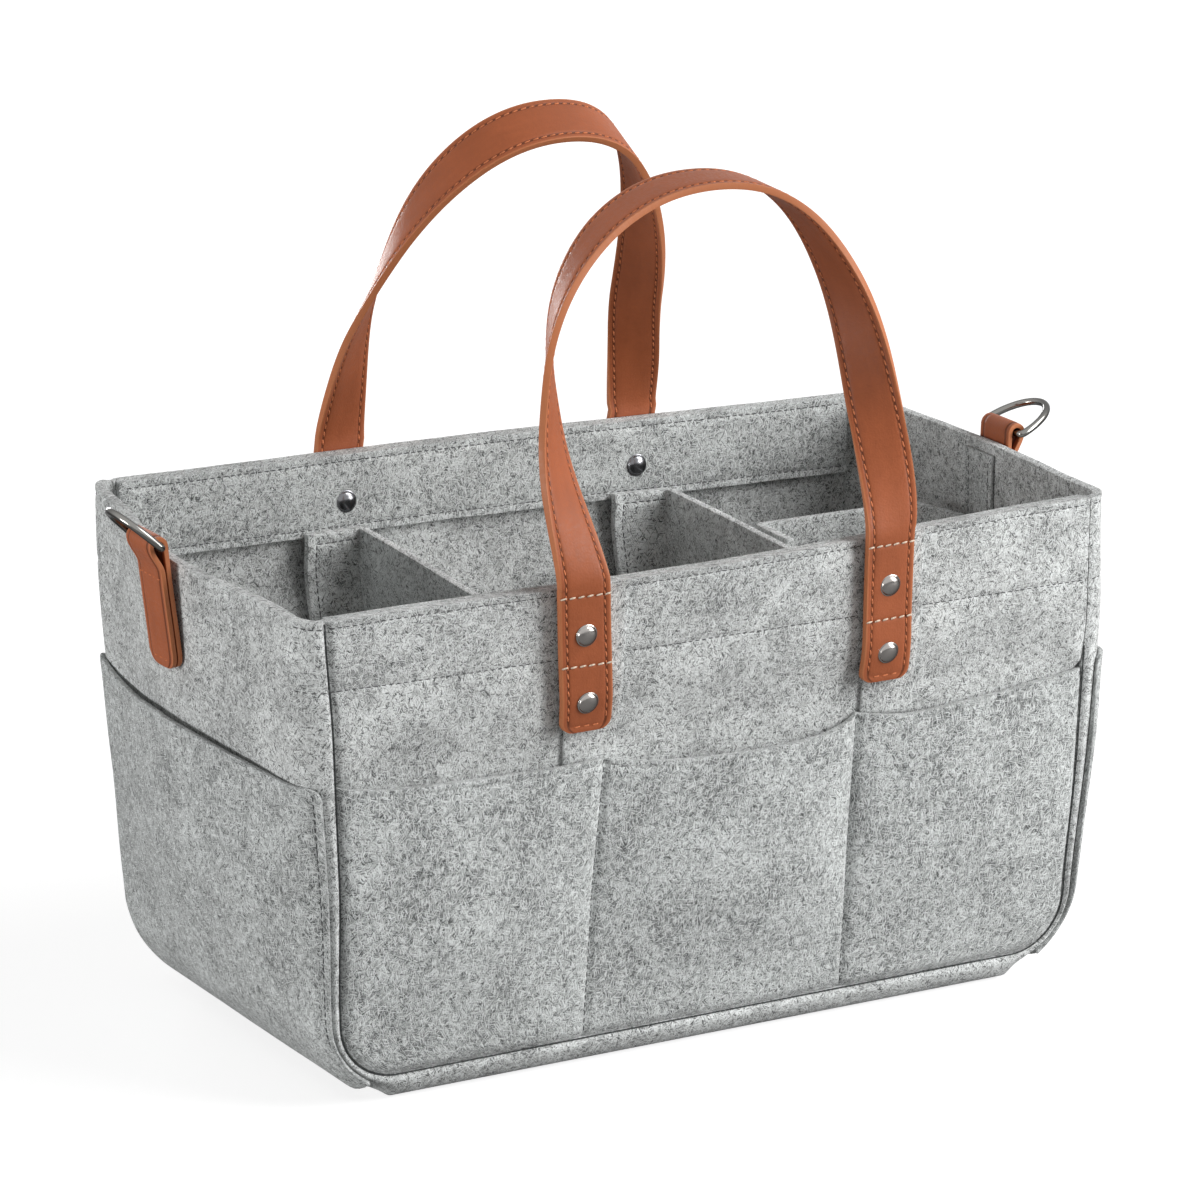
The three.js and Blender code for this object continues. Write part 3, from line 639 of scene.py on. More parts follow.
def hairs(tree, sheet, ways, across, along, low, high):
    """Thin hairs that lie in a few directions, in degrees: for each, a noise drawn out along it."""
    layers = []
    for way in ways:
        turned = add_node(tree, "ShaderNodeVectorRotate", {"Vector": sheet, "Angle": math.radians(way)},
                          rotation_type="Z_AXIS").outputs["Vector"]
        place = moved(tree, turned, (way, 0.3 * way, 0), (across, along, 0))
        layers.append(ramp(tree, noise(tree, place, 1.0, 1, 0.4), low, high))
    result = layers[0]
    for layer in layers[1:]:
        result = calc(tree, "MAXIMUM", result, layer)
    return result


def weighed(tree, parts):
    """A sum of noises about their middle, each with its weight, around 1."""
    total = 1.0
    for value, weight in parts:
        part = calc(tree, "MULTIPLY", calc(tree, "SUBTRACT", value, 0.5), weight)
        total = calc(tree, "ADD", total, part)
    return total


def felt_group():
    """Pressed wool: soft blotches, mottle and specks, under thin bent hairs that lie every way."""
    tree, given, out = new_group(
        "pressed_felt",
        {"Place": "Vector", "Sheet": "Vector", "Felt": "Color", "Light hair": "Color", "Dark hair": "Color"},
        {"Color": "Color", "Height": "Float"})
    place, sheet = given["Place"], given["Sheet"]
    blotch = noise(tree, place, 42, 3, 0.55, 0.6)
    mottle = noise(tree, place, 120, 3, 0.6, 0.8)
    speck = noise(tree, moved(tree, place, (0.3, 0.1, 0.7)), 1300, 2, 0.6, 0.8)
    tone = weighed(tree, [(blotch, 1.9), (mottle, 1.1), (speck, 2.0)])
    color = scaled_color(tree, given["Felt"], tone)
    drift = add_node(tree, "ShaderNodeTexNoise", {"Vector": sheet, "Scale": 70.0, "Detail": 1.0})
    bent = add_node(tree, "ShaderNodeVectorMath", {0: drift.outputs["Color"], 1: (0.004, 0.004, 0), 2: sheet},
                    operation="MULTIPLY_ADD").outputs[0]
    dark = hairs(tree, bent, (28, 84, 141), across=2250, along=240, low=0.592, high=0.66)
    light = hairs(tree, bent, (7, 52, 108, 163), across=2500, along=220, low=0.582, high=0.655)
    color = mix(tree, calc(tree, "MULTIPLY", dark, 0.95), color, given["Dark hair"])
    color = mix(tree, calc(tree, "MULTIPLY", light, 0.62), color, given["Light hair"])
    height = weighed(tree, [(mottle, 0.5), (speck, 0.5), (light, 0.35), (dark, -0.3)])
    connect(tree, out, {"Color": color, "Height": height})
    return tree


def leather_group():
    """Smooth grained leather: small pebbles, fine creases, a little mottle and a worn lighter edge."""
    tree, given, out = new_group(
        "grained_leather",
        {"Place": "Vector", "Leather": "Color", "Edge": "Color", "Edge mask": "Float"},
        {"Color": "Color", "Height": "Float", "Roughness": "Float"})
    place = given["Place"]
    cloud = noise(tree, place, 45, 3, 0.6)
    streak = noise(tree, moved(tree, place, (0.2, 0.3, 0.1), (1, 0.25, 1)), 220, 3, 0.6, 0.5)
    pebble = add_node(tree, "ShaderNodeTexVoronoi", {"Vector": place, "Scale": 1250.0, "Smoothness": 0.4},
                      feature="SMOOTH_F1").outputs["Distance"]
    crease = noise(tree, moved(tree, place, (0.5, 0.2, 0.4), (1, 1.6, 1)), 420, 3, 0.65, 0.9)
    tone = weighed(tree, [(cloud, 0.35), (streak, 0.28), (crease, 0.25)])
    color = scaled_color(tree, given["Leather"], tone)
    color = mix(tree, given["Edge mask"], color, given["Edge"])
    grain = calc(tree, "MULTIPLY", pebble, 0.55)
    height = calc(tree, "ADD", grain, calc(tree, "MULTIPLY", crease, 0.6))
    rough = ramp(tree, crease, 0.3, 0.7, 0.42, 0.58)
    connect(tree, out, {"Color": color, "Height": height, "Roughness": rough})
    return tree


def new_material(name, **uniform):
    material = bpy.data.materials.new(name)
    material.use_nodes = True
    tree = material.node_tree
    shader = tree.nodes["Principled BSDF"]
    for key, value in uniform.items():
        shader.inputs[key.replace("_", " ")].default_value = value
    return material, tree, shader


def object_place(tree):
    return tree.nodes.new("ShaderNodeTexCoord").outputs["Object"]


def sheet_place(tree):
    return tree.nodes.new("ShaderNodeUVMap").outputs["UV"]


def bump(tree, shader, height, strength, distance):
    inputs = {"Height": height, "Strength": strength, "Distance": distance * MM}
    node = add_node(tree, "ShaderNodeBump", inputs)
    connect(tree, shader, {"Normal": node.outputs["Normal"]})


def make_felt(name, color, group):
    material, tree, shader = new_material(name, Roughness=0.95, Sheen_Weight=0.25, Sheen_Roughness=0.6,
                                          Specular_IOR_Level=0.2)
    shift = (len(bpy.data.materials) * 0.37, 0, 0)
    surface = add_node(tree, "ShaderNodeGroup", {
        "Place": object_place(tree), "Sheet": moved(tree, sheet_place(tree), shift), "Felt": color,
        "Light hair": srgb(240, 243, 242), "Dark hair": srgb(68, 70, 69)}, node_tree=group)
    connect(tree, shader, {"Base Color": surface.outputs["Color"]})
    bump(tree, shader, surface.outputs["Height"], 0.55, 0.7)
    return material


def make_leather(name, color, edge, group):
    material, tree, shader = new_material(name, Specular_IOR_Level=0.25)
    place = sheet_place(tree)
    from_middle = calc(tree, "ABSOLUTE", add_node(tree, "ShaderNodeSeparateXYZ", {0: place}).outputs["X"])
    half = HALF_STRAP * MM
    off_groove = calc(tree, "ABSOLUTE", calc(tree, "SUBTRACT", from_middle, half - STRAP_EDGE * MM))
    # Painted shade: the leather is darkened to 0.45 of its colour in the stitch groove.
    groove = ramp(tree, off_groove, 0.3 * MM, 0.8 * MM, 0.45, 1.0)
    surface = add_node(tree, "ShaderNodeGroup", {
        "Place": place, "Leather": scaled_color(tree, color[:3], groove), "Edge": edge,
        "Edge mask": ramp(tree, from_middle, half - 1.1 * MM, half - 0.1 * MM)}, node_tree=group).outputs
    connect(tree, shader, {"Base Color": surface["Color"], "Roughness": surface["Roughness"]})
    bump(tree, shader, surface["Height"], 0.35, 0.25)
    return material


def make_metal(name, color, edge, roughness):
    """Plated metal with painted shade: a darker edge colour is mixed in where it turns away from the view.
    Faint handling marks lie in its gloss.
    """
    material, tree, shader = new_material(name, Metallic=1.0)
    marks = noise(tree, object_place(tree), 420, 3, 0.6)
    gloss = ramp(tree, marks, 0.3, 0.7, roughness * 0.8, roughness * 1.3)
    facing = add_node(tree, "ShaderNodeLayerWeight", {"Blend": 0.5}).outputs["Facing"]
    # Painted shade: the edge colour is mixed in by facing, so the metal is darker where it turns away from
    # the view.
    tint = mix(tree, ramp(tree, facing, 0.12, 0.75), (*color, 1), (*edge, 1))
    connect(tree, shader, {"Base Color": tint, "Roughness": gloss})
    return material


def make_thread(name, color):
    """Twisted sewing thread: a fine change of tone along it."""
    material, tree, shader = new_material(name, Roughness=0.8, Specular_IOR_Level=0.3)
    twist = noise(tree, object_place(tree), 1300, 1)
    tint = scaled_color(tree, color[:3], ramp(tree, twist, 0.3, 0.7, 0.7, 1.2))
    connect(tree, shader, {"Base Color": tint})
    return material


FELT_SURFACE = felt_group()
LEATHER_SURFACE = leather_group()
WALL = make_felt("felt_wall", srgb(184, 186, 185), FELT_SURFACE)
POCKET = make_felt("felt_pocket", srgb(163, 166, 165), FELT_SURFACE)
# A darker copy of the wall felt for the rim facing and end strips inside: painted shade.
INSIDE_PAINTED_SHADE = make_felt("felt_inside_painted_shade", srgb(173, 176, 175), FELT_SURFACE)
# A lighter copy of the wall felt for the dividers: painted light for their shaded faces.
DIVIDER_PAINTED_LIGHT = make_felt("felt_divider_painted_light", srgb(206, 209, 208), FELT_SURFACE)
HOOK = make_felt("hook_tape_pile", srgb(142, 144, 143), FELT_SURFACE)
LEATHER = make_leather("tan_leather", srgb(157, 86, 53), srgb(182, 112, 74), LEATHER_SURFACE)
# Each metal's second colour is painted shade for where its surface turns away from the view.
NICKEL = make_metal("bright_nickel", (0.42, 0.395, 0.375), (0.06, 0.055, 0.05), 0.2)
GUNMETAL = make_metal("gunmetal", (0.2, 0.2, 0.21), (0.02, 0.02, 0.022), 0.18)
RING_METAL = make_metal("dark_nickel", (0.28, 0.275, 0.26), (0.03, 0.028, 0.026), 0.16)
# Grey felt thread, darkened below the felt's tone: partly the thread's own grey, partly painted shade of its
# sunken holes.
GREY_THREAD_SHADED = make_thread("grey_thread_painted_shade", srgb(88, 89, 89))
# Near-black colour for the unbroken lines laid in the tight seams: painted shade.
SEAM_SHADE_COLOUR = make_thread("seam_painted_shade", srgb(66, 68, 68))
PALE_THREAD = make_thread("pale_thread", srgb(214, 196, 176))
TAN_THREAD = make_thread("tan_thread", srgb(196, 116, 76))


# Front and back walls

def slanted(side, x, z):
    """Bends the rows of a wall sheet so that one of them follows the facing's stitched line."""
    below = smooth((z - SLANT_FROM) / (FACING_LEVEL - SLANT_FROM))
    above = smooth((RIM_LEVEL - z) / (FACING_LINE - RIM_LINE))
    return z + (facing_line(side, x) - FACING_LEVEL) * below * above


def make_panel(name, side):
    edge = half_length(RIM_HEIGHT) - SEAM_INSET
    columns = spaced(-edge, edge, -edge, edge) / edge
    low = BOTTOM_RADIUS - PANEL_CORNER * np.cos(np.linspace(0, 1, 12) * np.pi / 2)
    rows = np.concatenate([low[:-1], spaced(BOTTOM_RADIUS, RIM_HEIGHT, FACING_LEVEL, RIM_LEVEL)])

    def face(u, row, depth):
        z = slanted(side, u * edge, row)
        x = u * panel_half_width(z) + seam_shift(side, z)
        offset = WALL_FELT * depth + roll(seam_distance(side, x, z), x > 0, z) * (1 - 0.4 * depth)
        return wall_point(side, x, z, offset + (1 - depth) * line_pinches(side, x, z))

    felt_piece(f"{name}_panel", WALL, columns, rows, face)


def make_facing(name, side):
    half = float(panel_half_width(np.array(FACING_LEVEL)))
    columns = spaced(-half, half, -half, half)
    rows = spaced(FACING_LEVEL - FACING_BELOW_LINE, RIM_HEIGHT, FACING_LEVEL, RIM_LEVEL)

    def face(x, row, depth):
        z = row + (facing_line(side, x) - FACING_LEVEL) * smooth((RIM_HEIGHT - row) / FACING_LINE)
        x = x + seam_shift(side, z)
        near = WALL_FELT + FIT * np.clip((RIM_HEIGHT - z) / 3, 0.1, 1)
        return wall_point(side, x, z, near + (FACING_FELT - line_pinches(side, x, z)) * depth)

    felt_piece(f"{name}_rim_facing", INSIDE_PAINTED_SHADE, columns, rows, face, rounding=0.35)


def pocket_edges(side, z):
    """The x of the seam, both stitched lines and the other seam at height z."""
    share = np.clip(z / TUCK_END, 0, 1)
    seam = panel_half_width(z)
    shift = seam_shift(side, z)
    lines = [low + (high - low) * share for low, high in POCKET_LINES[side]]
    return [shift - seam, *lines, shift + seam]


def pocket_place(side, s, z):
    """Pocket s runs 0 to 3; gives x, the place across its own pocket, its number and how near a line is."""
    edges = np.stack(np.broadcast_arrays(*pocket_edges(side, z)))
    k = np.clip(np.floor(s), 0, 2).astype(int)
    t = np.clip(s - k, 0, 1)
    pick = np.arange(len(k))
    x = edges[k, pick] * (1 - t) + edges[k + 1, pick] * t
    to_line = np.minimum(np.abs(x - edges[1]), np.abs(x - edges[2]))
    return x, t, k, to_line


def mouth_height(side, s):
    first, second, third = (softened(s - k, mouth, 0.09) for k, mouth in enumerate(MOUTHS[side]))
    return np.where(s < 1, first, np.where(s < 2, second, third))


def bulge(z, low, high):
    """How much of a pocket's swell there is at a height."""
    return np.sin(np.pi * np.clip((z - low) / (high - low), 0, 1)) ** 1.3


def pocket_gap(side, k, t, z):
    gap, skew = np.array(POCKET_GAPS[side])[k].T
    out = gap * smooth((z - SEAM_INSET) / POCKET_RISE) + POCKET_SWELL * bulge(z, *POCKET_SWELL_SPAN)
    return out * np.sin(np.pi * np.clip(t, 0, 1) ** skew) ** 0.7


def pocket_point(side, s, z, depth):
    x, t, k, to_line = pocket_place(side, s, z)
    below_mouth = mouth_height(side, s) - z
    top_thin = 0.3 * np.clip(1 - below_mouth / 2, 0, 1)
    out = pocket_gap(side, k, t, z) - (1 - 0.3 * depth) * pinch(to_line, 1.0, 1.7)
    out = out - (1 - depth) * pinch(below_mouth - 2.4, 0.4, 0.8)
    out = out - depth * POCKET_FELT - (1 - depth) * top_thin - roll(seam_distance(side, x, z), x > 0, z)
    return settle(x, side * (long_face(side, x, z) + out), z)


def make_pocket_panel(name, side):
    widths = np.diff([float(v) for v in pocket_edges(side, np.array(100.0))])
    columns = [k + spaced(0, width, 0, width) / width for k, width in enumerate(widths)]
    columns = np.unique(np.round(np.concatenate(columns), 6))
    low = np.linspace(0, 1, 13)
    near_mouth = 2 - np.array([5.6, 4.2, 3.3, 2.8, 2.4, 2.0, 1.5, 0.8]) / 90
    rows = np.concatenate([low[:-1], 1 + np.linspace(0, 0.925, 28), near_mouth, [2]])

    def face(s, row, depth):
        corner = BOTTOM_RADIUS - PANEL_CORNER * np.cos(np.clip(row, 0, 1) * np.pi / 2)
        rise = (mouth_height(side, s) - BOTTOM_RADIUS) * np.clip(row - 1, 0, 1)
        return pocket_point(side, s, np.where(row <= 1, corner, BOTTOM_RADIUS + rise), depth)

    piece = shell(f"felt_{name}_pockets", columns, rows, face)
    dress(piece, POCKET, "basket", "felt", f"{name}_pocket_panel")


def mouth_at(side, x):
    """The height of the pocket mouth at x."""
    s = np.linspace(0, 3, 600)
    z = mouth_height(side, s)
    return np.interp(x, pocket_place(side, s, z)[0], z)


def make_strip(name, side, end_name, end):
    middle = HANDLES[name]["tabs"][end] + STRIP_SHIFT
    half = STRIP_WIDTH / 2
    columns = spaced(-half, half, -half, half)
    rows = np.concatenate([[0, 0.01, 0.025, 0.05], np.linspace(0.1, 0.9, 26), [0.94, 0.97, 0.985, 1]])

    def face(a, row, depth):
        x = middle + a
        bottom = mouth_at(side, x) - 1.6
        z = bottom + (RIM_HEIGHT - 0.6 - bottom) * row
        body = 0.15 + 0.85 * smooth((z - bottom) / 2.4)
        thin = 0.4 * smooth((np.abs(a) - half + 1.5) / 1.5)
        outside = STRIP_OFFSET * body - thin - line_pinches(side, x, z)
        return wall_point(side, x, z, -FIT * depth - (1 - depth) * outside)

    felt_piece(f"{name}_{end_name}_strip", WALL, columns, rows, face)


# End band and end pockets

def make_band():
    turned = 1 + np.array([0.12, 0.25, 0.38, 0.5, 0.6, 0.69, 0.77, 0.83, 0.88, 0.92, 0.96, 1.0])
    columns = np.concatenate([-turned[::-1], np.linspace(-1, 1, 51), turned])
    marks = [band_height(1, level) for level in (RIM_LEVEL, FACING_LEVEL)]
    half = np.concatenate([np.linspace(0, CORNER_X, 24)[1:], np.linspace(CORNER_X, BAND_CORNER, 16)[1:],
                           spaced(BAND_CORNER, BAND_HALF, *marks)[1:]])
    rows = np.concatenate([-half[::-1], [0], half])

    def face(c, q, depth):
        height = band_station(q)[1]
        offset = WALL_FELT * depth + roll(band_seam_distance(c), q > 0, height) * (1 - 0.5 * depth)
        near_seam = np.clip((np.abs(c) - 1.0) / 0.15, 0, 1)
        x = END_X * np.sign(q)
        facing = np.where(c < 0, facing_line(FRONT, x), facing_line(BACK, x))
        lines = pinch(height - RIM_LEVEL) + pinch(height - facing)
        return band_point(q, c, offset + (1 - depth) * lines * near_seam)

    felt_piece("end_and_base_band", WALL, columns, rows, face)


def end_mouth(end, y):
    if end == LEFT:
        return softened(y, LEFT_MOUTH, 10)
    return RIGHT_MOUTH - RIGHT_MOUTH_DIP * swell(np.clip(y, -85, 85) / 88)


def patch_edge_distance(c, flat_half):
    """How far a place on an end pocket is from its upright cut edge."""
    arc = UPRIGHT_RADIUS * np.pi / 2
    turned = (1 + PATCH_WRAP - np.abs(c)) * arc
    flat_part = PATCH_WRAP * arc + (1 - np.abs(c)) * flat_half
    return np.where(np.abs(c) > 1, turned, flat_part)


def end_pocket_point(c, q, depth):
    z = band_station(q)[1]
    edge = patch_edge_distance(c, half_depth(z) - UPRIGHT_RADIUS)
    lobe = np.clip(np.cos(np.pi * np.clip(c, -1, 1) / 2), 0, None) ** 0.7
    gap = PATCH_GAP * lobe * smooth((z - BOTTOM_RADIUS) / POCKET_RISE)
    gap = gap + PATCH_SWELL * lobe * bulge(z, *PATCH_SWELL_SPAN)
    thin = 0.9 * (1 - smooth(edge / 2.2)) + pinch(edge - PATCH_STITCH, 0.6, 0.9)
    thin = thin + 0.9 * smooth((z - 95) / 35)
    return band_point(q, c, -(gap + FIT + (POCKET_FELT - thin) * (1 - depth)))


def make_end_pocket(name, end):
    fine = np.array([0.2, 0.4, 0.55, 0.66, 0.74, 0.79, 0.84, 0.89, 0.94, 1.0])
    columns = np.concatenate([-1 - PATCH_WRAP * fine[::-1], np.linspace(-1, 1, 51), 1 + PATCH_WRAP * fine])
    floor_angle = math.acos((BOTTOM_RADIUS - 0.5) / (BOTTOM_RADIUS + FIT + POCKET_FELT))
    lowest = CORNER_X + BOTTOM_RADIUS * floor_angle
    turn = np.linspace(lowest, BAND_CORNER, 16)[:-1] - BAND_CORNER
    rows = np.concatenate([turn, np.linspace(0, 1, 36) ** 0.93])
    flat_half = half_depth(PATCH_SWELL_SPAN[1]) - UPRIGHT_RADIUS

    def face(c, row, depth):
        inside = np.clip(PATCH_CORNER - patch_edge_distance(c, flat_half), 0, PATCH_CORNER)
        rounded = PATCH_CORNER - np.sqrt(PATCH_CORNER ** 2 - inside ** 2)
        top = end_mouth(end, np.clip(c, -1, 1) * flat_half) - rounded
        height = BOTTOM_RADIUS + (top - BOTTOM_RADIUS) * np.clip(row, 0, 1)
        q = np.where(row < 0, BAND_CORNER + row, BAND_CORNER + height - BOTTOM_RADIUS)
        return end_pocket_point(c, end * q, depth)

    felt_piece(f"{name}_end_pocket", POCKET, columns, rows, face)


def end_strip_point(end, y, z, depth):
    flat_half = half_depth(z) - UPRIGHT_RADIUS
    edge = HALF_STRAP - np.abs(y)
    thick = STRIP_FELT - 0.3 * (1 - smooth(edge / 1.5)) - pinch(edge - STRIP_EDGE, 0.4, 0.9)
    return band_point(band_height(end, z), y / flat_half, WALL_FELT + FIT + thick * depth)


def make_end_strip(name, end):
    half = HALF_STRAP
    columns = spaced(-half, half, -half + STRIP_EDGE, half - STRIP_EDGE)
    bottom, top = 60, RIM_HEIGHT - 4
    felt_piece(f"{name}_end_inner_strip", INSIDE_PAINTED_SHADE, columns, spaced(bottom, top, bottom, top),
               lambda y, z, depth: end_strip_point(end, y, z, depth))


# Dividers

def folded_columns(lengths):
    """Columns along a folded sheet: flat runs at even numbers, folds between them."""
    columns = []
    for k, length in enumerate(lengths):
        if k % 2:
            columns.append(k + np.linspace(0, 1, 6))
        else:
            columns.append(k + spaced(0, length, 0, length) / length)
    return np.unique(np.round(np.concatenate(columns), 6))


def cross_point(x_plate, c, z, depth):
    """A cross divider from its front flange's free edge, along the plate, to its back flange's."""
    gap = FLANGE_GAP + DIVIDER_LEAN * smooth((z - LEAN_FROM) / LEAN_OVER)

    def inside(side, x):
        return wall_face(side, x, z) - WALL_FELT - gap

    right = x_plate + DIVIDER_FELT / 2
    tip = right - FLANGE
    is_front = c < 2.5
    d = np.where(is_front, c, 5 - c)
    along = tip + (right - FOLD - tip) * np.clip(d, 0, 1)
    edge, corner = (np.where(is_front, inside(FRONT, x), inside(BACK, x)) for x in (along, right))
    angle = np.clip(d - 1, 0, 1) * np.pi / 2
    radius = FOLD - DIVIDER_FELT * depth
    border = np.minimum(DIVIDER_TOP - z, along - tip)
    dent = depth * pinch(border - DIVIDER_STITCH, 0.5, 0.9) * (d < 1)
    x = np.where(d <= 1, along, right - FOLD + radius * np.sin(angle))
    y = np.where(d <= 1, edge - DIVIDER_FELT * depth + dent, corner - FOLD + radius * np.cos(angle))
    share = np.clip(c - 2, 0, 1)
    front, back = inside(FRONT, right) - FOLD, inside(BACK, right) - FOLD
    sway = 0.7 * np.sin(np.pi * share) * np.sin(share * 5 + z / 60)
    plate = (c > 2) & (c < 3)
    x = np.where(plate, right - DIVIDER_FELT * depth + sway, x)
    y = np.where(plate, -front + (front + back) * share, np.where(is_front, -y, y))
    return settle(x, y, z)


def make_cross_divider(name, x_plate):
    width = 2 * (half_depth(100) - WALL_FELT - FLANGE_GAP - FOLD)
    columns = folded_columns([FLANGE_FLAT, 0, width, 0, FLANGE_FLAT])
    stitched = DIVIDER_STITCH / FLANGE_FLAT
    near = np.array([-0.05, 0, 0.05])
    columns = np.unique(np.concatenate([columns, stitched + near, 5 - stitched + near]))
    rows = spaced(DIVIDER_BOTTOM, DIVIDER_TOP, DIVIDER_BOTTOM, DIVIDER_TOP - DIVIDER_STITCH)
    felt_piece(f"{name}_cross_divider", DIVIDER_PAINTED_LIGHT, columns, rows,
               lambda c, z, depth: cross_point(x_plate, c, z, depth))


def end_inside(z):
    """The x of the inside of the right end, without its bow and draw."""
    radius = BOTTOM_RADIUS - WALL_FELT
    below = np.clip(BOTTOM_RADIUS - z, 0, None)
    low = CORNER_X + np.sqrt(np.clip(radius ** 2 - below ** 2, 0, None))
    return np.where(z >= BOTTOM_RADIUS, half_length(z) - WALL_FELT, low)


def length_point(c, z, depth):
    """The lengthwise divider: a flange on the right cross divider, the plate, and a splayed flange."""
    left, back = LENGTH_LEFT, LENGTH_BACK
    end = end_inside(z) - LENGTH_END_GAP
    thick = DIVIDER_FELT * depth
    radius = FOLD - thick
    first = np.clip(c - 1, 0, 1) * np.pi / 2
    second = np.clip(c - 3, 0, 1) * np.pi / 2
    out = np.clip(c - 4, 0, 1)
    stretches = [c <= 1, c <= 2, c <= 3, c <= 4]
    x = np.select(stretches, [
        left + thick,
        left + FOLD - radius * np.cos(first),
        left + FOLD + (end - left - 2 * FOLD) * (c - 2),
        end - FOLD + radius * np.sin(second)], end - thick + LENGTH_SPLAY * out)
    y = np.select(stretches, [
        back - FLANGE + FLANGE_FLAT * c,
        back - FOLD + radius * np.sin(first),
        back - thick,
        back - FOLD + radius * np.cos(second)], back - FOLD - FLANGE_FLAT * out)
    return settle(x, y, z)


def make_length_divider():
    plate = float(end_inside(np.array(100.0))) - LENGTH_END_GAP - LENGTH_LEFT - 2 * FOLD
    columns = folded_columns([FLANGE_FLAT, 0, plate, 0, FLANGE_FLAT])
    low = spaced(DIVIDER_BOTTOM, BOTTOM_RADIUS, DIVIDER_BOTTOM)
    rows = np.concatenate([low[:-1], spaced(BOTTOM_RADIUS, DIVIDER_TOP, DIVIDER_TOP)])
    felt_piece("lengthwise_divider", DIVIDER_PAINTED_LIGHT, columns, rows, length_point, "loose_divider")


def make_hook(node, body, columns, face):
    rows = spaced(HOOK_BOTTOM, HOOK_TOP, step=6)
    dress(shell(f"pile_{node}", columns, rows, face, 0.3), HOOK, body, "hook_tape", node)


def make_hooks():
    for name, x_plate in DIVIDER_X.items():
        tip = x_plate + DIVIDER_FELT / 2 - FLANGE
        columns = spaced(tip + HOOK_MARGIN, x_plate - HOOK_MARGIN, step=3)
        for wall, side in SIDES.items():
            make_hook(f"{name}_divider_{wall}_hook_tape", "basket", columns, lambda x, z, depth, side=side:
                      wall_point(side, x, z, WALL_FELT + FIT + HOOK_FELT * depth))
    columns = spaced(LENGTH_BACK - FLANGE + HOOK_MARGIN, LENGTH_BACK - 2 * HOOK_MARGIN, step=3)

    def left(y, z, depth):
        return settle(LENGTH_LEFT - FIT - HOOK_FELT * depth, y, z)

    def right(y, z, depth):
        out = LENGTH_SPLAY * np.clip((LENGTH_BACK - FOLD - y) / FLANGE_FLAT, 0, 1)
        return settle(end_inside(z) - LENGTH_END_GAP + out + FIT + HOOK_FELT * depth, y, z)

    make_hook("lengthwise_divider_left_hook_tape", "loose_divider", columns, left)
    make_hook("lengthwise_divider_right_hook_tape", "loose_divider", columns, right)


# Handles

def rounded_half(from_end, corner):
    """Half the width of a strap, less at its rounded end."""
    below = np.clip(corner - from_end, 0, corner)
    return HALF_STRAP - corner + np.sqrt(corner ** 2 - below ** 2)


